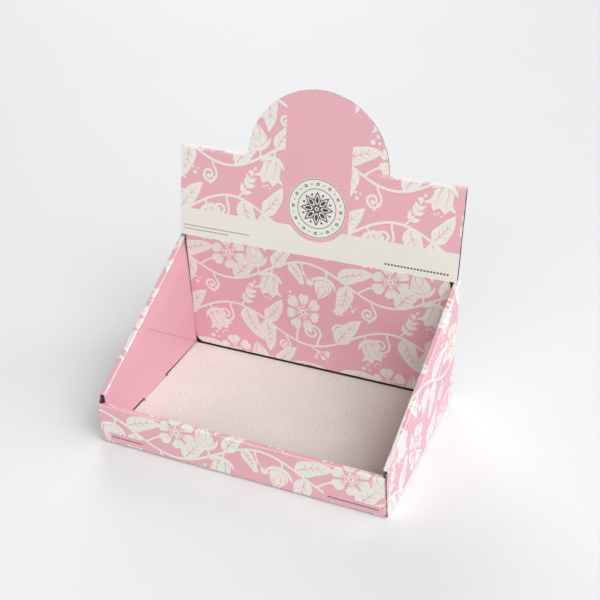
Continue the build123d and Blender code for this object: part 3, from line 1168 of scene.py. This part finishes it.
def bowed(points, marks):
    x, y, z = points.T
    moved = np.zeros_like(points)
    out = np.abs(x)
    side = np.sign(x)
    edge = share(out, halfWidth) ** cardBow["edgePower"] * side
    rear = share(halfDepth + y, blank["depth"])
    upWall = share(z, blank["sideRear"])
    # side walls: drawn in at the front, splayed at the back, the right one pushed up
    rise = np.clip(z / blank["lip"], 0, cardBow["pullTop"])
    pull = np.where(x < 0, cardBow["leftPull"] * rise, cardBow["rightPull"] * rise + cardBow["rightFoot"])
    moved[:, 0] -= edge * share(halfDepth - y, blank["depth"]) ** 2 * pull
    moved[:, 0] += cardBow["splay"] * edge * rear * upWall * marks["wall"]
    moved[:, 2] += cardBow["rightRise"] * rear ** 2 * upWall * marks["right"]
    # corners of the front wall
    atCorner = smooth(out, halfWidth - cardBow["cornerReach"], cornerBend)
    atCorner *= smooth(-y, lipEdge + cardBow["cornerGap"], halfDepth - foldRadius)
    push = np.where(x < 0, -cardBow["leftCorner"], cardBow["rightCorner"])
    moved[:, 0] += push * atCorner * marks["face"]
    # inner panels: the trapped flap shows through, and the foot sinks at the back
    above = smooth(z - flapEdge(y), 0, cardBow["printRise"])
    above *= smooth(sideTop(y) - z, doubleWall, cardBow["printTop"] * doubleWall)
    above *= smooth(y, rearFlapFront - cardBow["printFade"], rearFlapFront + cardBow["printFade"])
    moved[:, 0] -= cardBow["printThrough"] * above * side * marks["inner"]
    low = np.clip(1 - (z - innerFoot) / cardBow["footReach"], 0, 1)
    moved[:, 2] -= cardBow["footDrop"] * low * smooth(y, 0, halfDepth) * marks["inner"]
    # header and tuck flap
    low = np.clip(1 - z / cardBow["tuckReach"], 0, 1)
    moved[:, 0] -= np.where(x < 0, cardBow["tuckSpread"], 0) * np.abs(edge) * low * marks["tuck"]
    aboveFoot = share(z - blank["headerFoot"], blank["leaf"])
    belowFoot = share(blank["headerFoot"] - z, blank["headerFoot"])
    forward = (1 - aboveFoot) * (1 - belowFoot) * (halfWidth - x) / blank["width"]
    moved[:, 1] -= cardBow["leafPull"] * forward * marks["leaf"]
    # the tray's edges stand off the ground
    across = share(out, halfWidth - foldRadius) ** cardBow["sagPower"]
    along = share(np.abs(y), halfDepth - foldRadius) ** cardBow["sagPower"]
    sag = np.where(marks["floor"], 1 - (1 - across) * (1 - along), 1.0)
    moved[:, 2] += cardBow["lift"] * sag * np.clip(1 - z / (cadHigh[2] / mm), 0, 1)
    return moved


def bowMarks(points, spots, panelAt):
    # which points each kind of bow moves
    names = np.array(panelNames)[panelAt]
    u, v = spots.T
    side = np.isin(names, ["rightSide", "leftSide"])
    rearFlap = np.isin(names, ["rightRearFlap", "leftRearFlap"])
    tuck = np.where(u < 0, cardBow["leftTuck"], cardBow["rightTuck"])
    tuck *= (names == "rear") * smooth(v, footAt, footAt + cardBow["tuckBlend"])
    return {
        "leaf": ((names == "rear") & (v > stripAt)) | (names == "arch"),
        "wall": side + rearFlap * smooth(halfDepth - points[:, 1], 0, cardBow["flapBlend"]) + tuck,
        "right": names == "rightSide",
        "inner": side & (slopeAcross(np.abs(u), v) > rolledAt),
        "face": np.isin(names, ["front", "leftFrontFlap", "rightFrontFlap"]),
        "floor": names == "floor",
        "tuck": (names == "rear") & (v > footAt),
    }


def folded(spots, tris, places):
    panelAt = np.zeros(len(spots), int)
    panelAt[tris.ravel()] = np.repeat(places, 3)
    points = np.zeros((len(spots), 3))
    normals = np.zeros((len(spots), 3))
    for i, name in enumerate(panelNames):
        here = panelAt == i
        fold, *by = panels[name][1:]
        points[here], normals[here] = fold(*spots[here].T, *by)
    marks = bowMarks(points, spots, panelAt)
    shift = bowed(points, marks)
    turn = np.zeros_like(points)
    for axis in range(3):
        probe = points.copy()
        probe[:, axis] += cardBow["probe"]
        turn[:, axis] = ((bowed(probe, marks) - shift) * normals).sum(1) / cardBow["probe"]
    normals = normals - turn
    normals /= np.linalg.norm(normals, axis=1, keepdims=True)
    return points + shift, normals, panelAt


def nearFolds(spots, panelAt):
    # print cracks and painted fold highlight, 1 along the middle of a fold, and how far the board is
    # flattened there
    wornAndLit = np.zeros(len(spots))
    flat = np.zeros(len(spots))
    u, v = spots.T
    out = np.abs(u)
    lengths = {
        "floor": [(sideProfile, out), (rearProfile, v), (frontProfile, -v)],
        "rear": [(rearProfile, v), (rearCorner, np.where(v < hingeAt, out, 0))],
        "front": [(frontProfile, -v), (frontCorner, np.where(-v < wallRise + flapRise, out, 0))],
    }
    for side in ("right", "left"):
        lengths[side + "Side"] = [(sideProfile, out), (rollProfile, slopeAcross(out, v) + rollLead)]
        lengths[side + "FrontFlap"] = [(frontCorner, out)]
        lengths[side + "RearFlap"] = [(rearCorner, out)]
    for i, name in enumerate(panelNames):
        here = panelAt == i
        for profile, along in lengths.get(name, []):
            for start, end in profile["bends"]:
                half = (end - start) / 2
                away = np.abs(along[here] - (start + end) / 2)
                near = np.clip(1 - away / max(half, blank["foldReach"]), 0, 1)
                wornAndLit[here] = np.maximum(wornAndLit[here], near)
                near = np.clip(1 - (away - half) / blank["foldReach"], 0, 1)
                flat[here] = np.maximum(flat[here], near)
    # painted highlight band below the header's top fold, left off where the arch runs on
    onLeaf = (v > stripAt) & (panelAt == panelNames.index("rear"))
    wornAndLit = np.maximum(wornAndLit, np.clip(1 - (v - archAt) / blank["topHighlight"], 0, 1) * onLeaf)
    runsOn = (out < blank["arch"]) & (v > archAt - 2 * foldRadius) & (v < archAt + blank["topHighlight"])
    wornAndLit[runsOn] = 0.0
    return wornAndLit, flat


def paintedPocketShade(spots, panelAt):
    # painted shade, 1 where the bare board lies inside the walls, behind the tuck flap or in the header's
    # open ends
    names = np.array(panelNames)[panelAt]
    out, v = np.abs(spots[:, 0]), spots[:, 1]
    shadeFade = blank["shadeFade"]
    under = smooth(out, innerFace - shadeFade, innerFace + shadeFade)
    under = np.maximum(under, smooth(-v, lipEdge - shadeFade, lipEdge + shadeFade))
    under = np.maximum(under, smooth(v, tuckFace - shadeFade, tuckFace + shadeFade))
    inHeader = smooth(out, halfWidth - blank["openEndShade"] * doubleWall, halfWidth - doubleWall)
    deep = np.where(names == "floor", under, 1.0)
    deep = np.where((names == "rear") & (v > hingeAt) & (v < footAt + board), inHeader, deep)
    return np.where(names == "arch", 0.0, deep)


facePoints, faceNormals, facePanelAt = folded(faceSpots, faceTris, facePanels)
linerPoints, linerNormals, linerPanelAt = folded(linerSpots, linerTris, linerPanels)
faceWorn = nearFolds(faceSpots, facePanelAt)[0]
linerFlat = nearFolds(linerSpots, linerPanelAt)[1]
faceUsed = np.unique(faceTris)
linerUsed = np.unique(linerTris)
rimLiner = {}  # the liner's point behind each point of the rim
for a in np.unique(rim):
    rimLiner[a] = linerUsed[((linerSpots[linerUsed] - faceSpots[a]) ** 2).sum(1).argmin()]
thickness = board - (board - blank["creased"]) * linerFlat
cutPoints = list(rimLiner.values())
inTray = np.array([panelNames[k] not in ("rear", "arch") for k in linerPanelAt])
crushed = np.where(inTray, blank["cutEdge"], board)
thickness[cutPoints] = np.minimum(thickness[cutPoints], crushed[cutPoints])
linerPoints -= thickness[:, None] * linerNormals
print("folded")


def buildSheet():
    # printed side, liner side and the cut edge between them, as one closed mesh
    faceIndex = np.full(len(faceSpots), -1)
    faceIndex[faceUsed] = np.arange(len(faceUsed))
    linerIndex = np.full(len(linerSpots), -1)
    linerIndex[linerUsed] = np.arange(len(linerUsed)) + len(faceUsed)
    outward = faceTris[:, ::-1]
    points = np.concatenate([facePoints[faceUsed], linerPoints[linerUsed]]) * mm
    faces = faceIndex[outward].tolist() + linerIndex[linerTris].tolist()
    linerSlot = len(inks)
    slots = faceInks.tolist() + [linerSlot] * len(linerTris)
    normals = faceNormals[outward].reshape(-1, 3).tolist()
    normals += (-linerNormals[linerTris]).reshape(-1, 3).tolist()
    uvs = faceSpots[outward].reshape(-1, 2).tolist()
    uvs += linerSpots[linerTris].reshape(-1, 2).tolist()
    for a, b in rim:
        la, lb = rimLiner[a], rimLiner[b]
        corners = [faceIndex[a], faceIndex[b], linerIndex[lb], linerIndex[la]][:3 if la == lb else 4]
        out = np.cross(facePoints[b] - facePoints[a], linerPoints[la] - facePoints[a])
        length = np.linalg.norm(out)
        out = out / length if length > 0 else faceNormals[a]
        faces.append([int(k) for k in corners])
        slots.append(linerSlot + 1)
        normals += [out.tolist()] * len(corners)
        va, vb = faceSpots[a][1], faceSpots[b][1]
        uvs += [[va, 0.0], [vb, 0.0], [vb, board], [va, board]][:len(corners)]
    mesh = bpy.data.meshes.new("displayBox")
    mesh.from_pydata(points.tolist(), [], faces)
    layer = mesh.uv_layers.new(name="sheet")
    layer.data.foreach_set("uv", (np.array(uvs) * mm).ravel())
    mesh.polygons.foreach_set("material_index", slots)
    mesh.polygons.foreach_set("use_smooth", [True] * len(faces))
    # painted shade on the inner panels' print behind the tuck flap, and on the bare board in the pockets
    behindTuck = smooth(facePoints[:, 1], tuckFace - blank["shadeFade"], tuckFace + blank["shadeFade"])
    behindTuck *= bowMarks(facePoints, faceSpots, facePanelAt)["inner"]
    inside = paintedPocketShade(linerSpots, linerPanelAt)
    for name, onFace, onLiner in (("crease", faceWorn, 0 * inside), ("pocketShade", behindTuck, inside)):
        layer = mesh.attributes.new(name, "FLOAT", "POINT")
        layer.data.foreach_set("value", np.concatenate([onFace[faceUsed], onLiner[linerUsed]]))
    mesh.update()
    mesh.normals_split_custom_set(normals)
    piece = bpy.data.objects.new("display_box_sheet", mesh)
    scene.collection.objects.link(piece)
    return piece


sheet = buildSheet()
print("sheet built, {} vertices, {} faces".format(len(sheet.data.vertices), len(sheet.data.polygons)))


# Materials

def feed(tree, socket, value):
    # a number or a colour is set on the socket, and anything else is linked to it
    if isinstance(value, (int, float)):
        socket.default_value = value
    elif isinstance(value, tuple):
        socket.default_value = (*value, 1.0)
    else:
        tree.links.new(value, socket)


def addNode(tree, kind, inputs, **settings):
    node = tree.nodes.new("ShaderNode" + kind)
    for name, value in settings.items():
        setattr(node, name, value)
    for name, value in inputs.items():
        feed(tree, node.inputs[name], value)
    return node


def mathNode(tree, operation, *values, clamp=False):
    return addNode(tree, "Math", dict(enumerate(values)), operation=operation, use_clamp=clamp).outputs[0]


def noiseNode(tree, vector, scale, detail=2.0, roughness=0.5):
    inputs = {"Vector": vector, "Scale": scale, "Detail": detail, "Roughness": roughness}
    return addNode(tree, "TexNoise", inputs).outputs["Fac"]


def rangeNode(tree, value, fromLow, fromHigh, toLow, toHigh):
    inputs = {"Value": value, "From Min": fromLow, "From Max": fromHigh, "To Min": toLow, "To Max": toHigh}
    return addNode(tree, "MapRange", inputs).outputs["Result"]


def mixColour(tree, factor, first, second, blend="MIX"):
    inputs = {0: factor, 6: first, 7: second}
    return addNode(tree, "Mix", inputs, data_type="RGBA", blend_type=blend).outputs[2]


def toned(tree, colour, tone):
    # a colour made lighter or darker by a value round 1
    grey = addNode(tree, "CombineColor", {0: tone, 1: tone, 2: tone})
    return mixColour(tree, 1.0, colour, grey.outputs[0], "MULTIPLY")


def attributeNode(tree, name):
    return addNode(tree, "Attribute", {}, attribute_name=name).outputs["Fac"]


def bumpInto(tree, shader, height, strength, distance):
    bump = addNode(tree, "Bump", {"Height": height, "Strength": strength, "Distance": distance})
    feed(tree, shader["Normal"], bump.outputs["Normal"])


def newGroup(name, inputs, outputs):
    # inputs are values, or a vector where there is no value to start from; outputs are values
    group = bpy.data.node_groups.new(name, "ShaderNodeTree")
    for socketName, value in inputs.items():
        kind = "NodeSocketVector" if value is None else "NodeSocketFloat"
        socket = group.interface.new_socket(socketName, in_out="INPUT", socket_type=kind)
        if value is not None:
            socket.default_value = value
    for socketName in outputs:
        group.interface.new_socket(socketName, in_out="OUTPUT", socket_type="NodeSocketFloat")
    source = group.nodes.new("NodeGroupInput")
    return group, source.outputs, group.nodes.new("NodeGroupOutput").inputs


boardLook = {
    "pocketShade": (0.06, 0.032, 0.022),  # painted shade inside the walls and behind the tuck flap
    "flutePitch": 3.2,  # millimetres from ridge to ridge
    "wanderScale": 40.0,  # noise cells per metre, here and below
    "wanderDetail": 1.0,
    "wander": 2.0,  # how far the ridges stray, in radians
    "ridge": 0.10,
    "grainDetail": 3.0,
    "fibreScale": 1150.0,
    "fibreRough": 0.65,
    "fibreHeight": 0.2,
    "cloudScale": 28.0,
    "cloudRough": 0.55,
    "wearScale": 230.0,
    "wearDetail": 4.0,
    "wearRough": 0.7,
    "wearFrom": 0.40,  # patches of noise between these two crack, and take the painted highlight, least and most
    "wearTo": 0.58,
    "wearLeast": 0.15,
    "wearPower": 1.2,
    "fleckIn": 0.03,  # where a fleck starts to fade and where it ends, in cells
    "fleckOut": 0.09,
}


def fluteAngle(tree, along):
    return mathNode(tree, "MULTIPLY", along, 2 * math.pi / (boardLook["flutePitch"] * mm))


def boardGrainGroup():
    # paper fibre, cloudy tone and the ridges of the flutes, over the flat sheet
    inputs = {"Sheet": None, "Fibre": 0.5, "Cloud": 0.5, "Ridge": 0.5}
    group, source, result = newGroup("boardGrain", inputs, ["Tone", "Height", "Ridges"])
    parts = addNode(group, "SeparateXYZ", {0: source["Sheet"]})
    wander = noiseNode(group, source["Sheet"], boardLook["wanderScale"], boardLook["wanderDetail"])
    stray = mathNode(group, "MULTIPLY", wander, boardLook["wander"])
    ridges = mathNode(group, "SINE", mathNode(group, "ADD", fluteAngle(group, parts.outputs["Y"]), stray))
    grains = []
    for part in ("fibre", "cloud"):
        scale, rough = boardLook[part + "Scale"], boardLook[part + "Rough"]
        noise = noiseNode(group, source["Sheet"], scale, boardLook["grainDetail"], rough)
        centred = mathNode(group, "SUBTRACT", noise, 0.5)
        grains.append(mathNode(group, "MULTIPLY", centred, source[part.capitalize()]))
    tone = mathNode(group, "ADD", mathNode(group, "ADD", *grains), 1.0)
    ridgePart = mathNode(group, "MULTIPLY", ridges, source["Ridge"])
    fibrePart = mathNode(group, "MULTIPLY", grains[0], boardLook["fibreHeight"])
    height = mathNode(group, "ADD", fibrePart, ridgePart)
    for name, value in (("Tone", tone), ("Height", height), ("Ridges", ridges)):
        feed(group, result[name], value)
    return group


def foldWearAndHighlightGroup():
    # broken pale line along a fold: cracked print, and painted highlight where the fold catches the light
    group, source, result = newGroup("foldWearAndHighlight", {"Sheet": None, "Crease": 0.0, "Amount": 0.5}, ["Worn"])
    scale, detail, rough = (boardLook["wear" + part] for part in ("Scale", "Detail", "Rough"))
    patches = noiseNode(group, source["Sheet"], scale, detail, rough)
    cut = rangeNode(group, patches, boardLook["wearFrom"], boardLook["wearTo"], boardLook["wearLeast"], 1.0)
    line = mathNode(group, "POWER", source["Crease"], boardLook["wearPower"])
    broken = mathNode(group, "MULTIPLY", line, cut)
    feed(group, result["Worn"], mathNode(group, "MULTIPLY", broken, source["Amount"], clamp=True))
    return group


def fleckGroup():
    # scattered dark fibres of recycled paper
    group, source, result = newGroup("fleck", {"Sheet": None, "Spacing": 200.0}, ["Flecks"])
    inputs = {"Vector": source["Sheet"], "Scale": source["Spacing"], "Randomness": 1.0}
    away = addNode(group, "TexVoronoi", inputs).outputs["Distance"]
    flecks = rangeNode(group, away, boardLook["fleckIn"], boardLook["fleckOut"], 1.0, 0.0)
    feed(group, result["Flecks"], flecks)
    return group


boardGrain = boardGrainGroup()
foldWearAndHighlight = foldWearAndHighlightGroup()
fleck = fleckGroup()


def newMaterial(name, roughness):
    material = bpy.data.materials.new(name)
    material.use_nodes = True
    tree = material.node_tree
    shader = tree.nodes["Principled BSDF"].inputs
    shader["Roughness"].default_value = roughness
    return material, tree, shader


def sheetMaterial(name, look):
    # what printed board and bare liner share: place on the sheet, and grain
    material, tree, shader = newMaterial(name, look["roughness"])
    sheetUv = addNode(tree, "UVMap", {}, uv_map="sheet").outputs["UV"]
    inputs = {"Sheet": sheetUv, "Fibre": look["fibre"], "Cloud": look["cloud"], "Ridge": boardLook["ridge"]}
    grain = addNode(tree, "Group", inputs, node_tree=boardGrain).outputs
    bumpInto(tree, shader, grain["Height"], *look["bump"])
    return material, tree, shader, sheetUv, grain


def withPocketShade(tree, shader, colour):
    # painted shade: the colour turns near black where the mesh attribute marks the pockets and the print
    # behind the tuck flap
    pocketed = mixColour(tree, attributeNode(tree, "pocketShade"), colour, boardLook["pocketShade"])
    feed(tree, shader["Base Color"], pocketed)


# each print's paler colour stands for cracked print and for painted highlight along the folds
printLooks = {
    "pinkPrint": {
        "colour": (0.721, 0.386, 0.447), "wornAndLit": (0.88, 0.76, 0.77), "wear": 0.75,
        "roughness": 0.48, "fibre": 1.3, "cloud": 0.10, "bump": (0.25, 0.0002),
    },
    "palePrint": {
        "colour": (0.743, 0.731, 0.681), "wornAndLit": (0.88, 0.87, 0.84), "wear": 0.7,
        "roughness": 0.5, "fibre": 1.0, "cloud": 0.06, "bump": (0.25, 0.0002),
    },
    "darkPrint": {
        "colour": (0.045, 0.04, 0.042), "wornAndLit": (0.4, 0.37, 0.37), "wear": 0.5,
        "roughness": 0.45, "fibre": 0.5, "cloud": 0.3, "bump": (0.25, 0.0002),
    },
}
toneSpread = 0.1  # over this spread of its tone
roughSpread = 0.06  # the print's roughness varies by this much


def printMaterial(name):
    look = printLooks[name]
    material, tree, shader, sheetUv, grain = sheetMaterial(name, look)
    inputs = {"Sheet": sheetUv, "Crease": attributeNode(tree, "crease"), "Amount": look["wear"]}
    wear = addNode(tree, "Group", inputs, node_tree=foldWearAndHighlight).outputs
    colour = toned(tree, look["colour"], grain["Tone"])
    # cracked print and painted fold highlight, then the painted shade
    withPocketShade(tree, shader, mixColour(tree, wear["Worn"], colour, look["wornAndLit"]))
    low, high = look["roughness"] - roughSpread, look["roughness"] + roughSpread
    rough = rangeNode(tree, grain["Tone"], 1 - toneSpread, 1 + toneSpread, low, high)
    feed(tree, shader["Roughness"], rough)
    return material


linerLook = {
    "colour": (0.729, 0.690, 0.656),
    # colour of the painted shade along the flute ridges that show through the liner
    "shade": (0.62, 0.55, 0.53),
    "fleck": (0.36, 0.29, 0.27),
    "fibre": 2.2,
    "cloud": 0.14,
    "flecks": 0.5,
    "fleckSpacing": 330.0,
    "roughness": 0.85,
    "bump": (0.45, 0.0003),
}


def linerMaterial():
    material, tree, shader, sheetUv, grain = sheetMaterial("bareLiner", linerLook)
    # painted shade along the flute ridges that show through the liner
    shade = rangeNode(tree, grain["Ridges"], -1.0, 1.0, boardLook["ridge"], 0.0)
    colour = mixColour(tree, shade, linerLook["colour"], linerLook["shade"])
    colour = toned(tree, colour, grain["Tone"])
    inputs = {"Sheet": sheetUv, "Spacing": linerLook["fleckSpacing"]}
    flecks = addNode(tree, "Group", inputs, node_tree=fleck).outputs["Flecks"]
    flecks = mathNode(tree, "MULTIPLY", flecks, linerLook["flecks"])
    withPocketShade(tree, shader, mixColour(tree, flecks, colour, linerLook["fleck"]))
    return material


edgeLook = {
    "liner": (0.62, 0.50, 0.42),
    "flute": (0.36, 0.21, 0.13),
    # painted shadow in the hollows between the flutes
    "cavityShadow": (0.10, 0.05, 0.03),
    "frayed": (0.66, 0.56, 0.49),  # where paper is crushed over the flutes
    "frayNoise": (130.0, 2.0, 0.6),  # scale, detail and roughness
    "fray": (0.46, 0.6, 0.0, 0.9),  # noise from and to, cover from and to
    "linerShare": 0.16,
    "fluteShare": 0.15,
    "swing": 0.30,
    "fluteEdge": (0.6, 1.4),  # where its edge starts and ends, in shares of itself
    "linerEdge": 0.6,
    "toneNoise": (1400.0, 3.0, 0.7),
    "tone": (0.2, 0.8, 0.75, 1.15),
    "roughness": 0.9,
    "bump": (0.6, 0.0004),
}


def cutEdgeMaterial():
    # two pale liners with the brown wave of the flute between them, and painted shadow in the hollows
    material, tree, shader = newMaterial("cutEdge", edgeLook["roughness"])
    sheetUv = addNode(tree, "UVMap", {}, uv_map="sheet").outputs["UV"]
    parts = addNode(tree, "SeparateXYZ", {0: sheetUv})
    across = mathNode(tree, "MULTIPLY", parts.outputs["Y"], 1 / (board * mm))
    wave = mathNode(tree, "SINE", fluteAngle(tree, parts.outputs["X"]))
    wave = mathNode(tree, "MULTIPLY", wave, edgeLook["swing"])
    off = mathNode(tree, "SUBTRACT", across, 0.5)
    middle = mathNode(tree, "ABSOLUTE", off)
    away = mathNode(tree, "ABSOLUTE", mathNode(tree, "SUBTRACT", off, wave))
    fluteIn, fluteOut = (edgeLook["fluteShare"] * part for part in edgeLook["fluteEdge"])
    flute = rangeNode(tree, away, fluteIn, fluteOut, 1.0, 0.0)
    linerOut = 0.5 - edgeLook["linerEdge"] * edgeLook["linerShare"]
    liner = rangeNode(tree, middle, 0.5 - edgeLook["linerShare"], linerOut, 0.0, 1.0)
    colour = mixColour(tree, flute, edgeLook["cavityShadow"], edgeLook["flute"])
    place = addNode(tree, "TexCoord", {}).outputs["Object"]
    torn = rangeNode(tree, noiseNode(tree, place, *edgeLook["frayNoise"]), *edgeLook["fray"])
    colour = mixColour(tree, torn, colour, edgeLook["frayed"])
    colour = mixColour(tree, liner, colour, edgeLook["liner"])
    tone = rangeNode(tree, noiseNode(tree, sheetUv, *edgeLook["toneNoise"]), *edgeLook["tone"])
    feed(tree, shader["Base Color"], toned(tree, colour, tone))
    bumpInto(tree, shader, mathNode(tree, "MAXIMUM", flute, liner), *edgeLook["bump"])
    return material


for material in [printMaterial(name) for name in printLooks] + [linerMaterial(), cutEdgeMaterial()]:
    sheet.data.materials.append(material)
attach(sheet, "root")
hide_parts("display_box")
print("materials made")


# Pale floor, soft light and camera

studio = {
    "floorSize": 12.0,
    "floorColour": (0.772, 0.772, 0.774),
    "floorRoughness": 0.7,
    "floorTone": (0.3, 0.7, 0.985, 1.0),  # noise from and to, tone from and to
    "floorCloud": 3.0,
    "worldColour": (1.0, 1.0, 1.0),
    "worldStrength": 0.02,
    "aim": (0, 0, 0.08),
    "lights": [  # name, place, size, power, tint
        ("keyLight", (3.88, 0.14, 3.23), 6.5, 230.0, (0.98, 1.0, 1.025)),
        ("sideLight", (2.71, -2.27, 3.62), 5.0, 163.0, (1.0, 1.0, 1.0)),
        ("frontLight", (0.0, -4.42, 2.43), 4.4, 92.0, (1.02, 1.0, 0.965)),
        ("backLight", (-2.32, 4.02, 1.95), 3.6, 136.0, (1.0, 1.0, 1.0)),
    ],
}
cameraSetup = {
    "place": (0.3082, -0.6309, 0.5453),
    "azimuth": 24.43,
    "elevation": 31.355,
    "roll": -1.712,
    "focal": 1047.66,  # in pixels of the 600-pixel picture
    "picture": 600.0,
    "sensor": 36.0,
    "clipStart": 0.01,
    "clipEnd": 50.0,
}


def buildFloor():
    half = studio["floorSize"] / 2
    mesh = bpy.data.meshes.new("studioFloor")
    mesh.from_pydata([(x, y, 0) for x, y in rectangle(-half, -half, half, half)], [], [(0, 1, 2, 3)])
    ground = bpy.data.objects.new("studioFloor", mesh)
    scene.collection.objects.link(ground)
    material, tree, shader = newMaterial("paleFloor", studio["floorRoughness"])
    place = addNode(tree, "TexCoord", {}).outputs["Object"]
    tone = rangeNode(tree, noiseNode(tree, place, studio["floorCloud"]), *studio["floorTone"])
    feed(tree, shader["Base Color"], toned(tree, studio["floorColour"], tone))
    mesh.materials.append(material)


def softLight(name, place, size, power, tint):
    data = bpy.data.lights.new(name, "AREA")
    data.shape = "DISK"
    data.size = size
    data.energy = power
    data.color = tint
    light = bpy.data.objects.new(name, data)
    light.location = place
    light.rotation_euler = (Vector(studio["aim"]) - Vector(place)).to_track_quat("-Z", "Y").to_euler()
    scene.collection.objects.link(light)


def buildCamera():
    data = bpy.data.cameras.new("photoCamera")
    data.sensor_width = cameraSetup["sensor"]
    data.lens = cameraSetup["focal"] / cameraSetup["picture"] * cameraSetup["sensor"]
    data.clip_start = cameraSetup["clipStart"]
    data.clip_end = cameraSetup["clipEnd"]
    camera = bpy.data.objects.new("photoCamera", data)
    turn = Matrix.Rotation(math.radians(cameraSetup["azimuth"]), 4, "Z")
    tilt = Matrix.Rotation(math.radians(90 - cameraSetup["elevation"]), 4, "X")
    roll = Matrix.Rotation(math.radians(cameraSetup["roll"]), 4, "Z")
    camera.matrix_world = Matrix.Translation(cameraSetup["place"]) @ turn @ tilt @ roll
    scene.collection.objects.link(camera)
    scene.camera = camera


buildFloor()
for light in studio["lights"]:
    softLight(*light)
world = bpy.data.worlds.new("studioWorld")
world.use_nodes = True
background = world.node_tree.nodes["Background"].inputs
background["Color"].default_value = (*studio["worldColour"], 1.0)
background["Strength"].default_value = studio["worldStrength"]
scene.world = world
scene.view_settings.view_transform = "Standard"
buildCamera()
print("studio set")

bpy.context.view_layer.update()
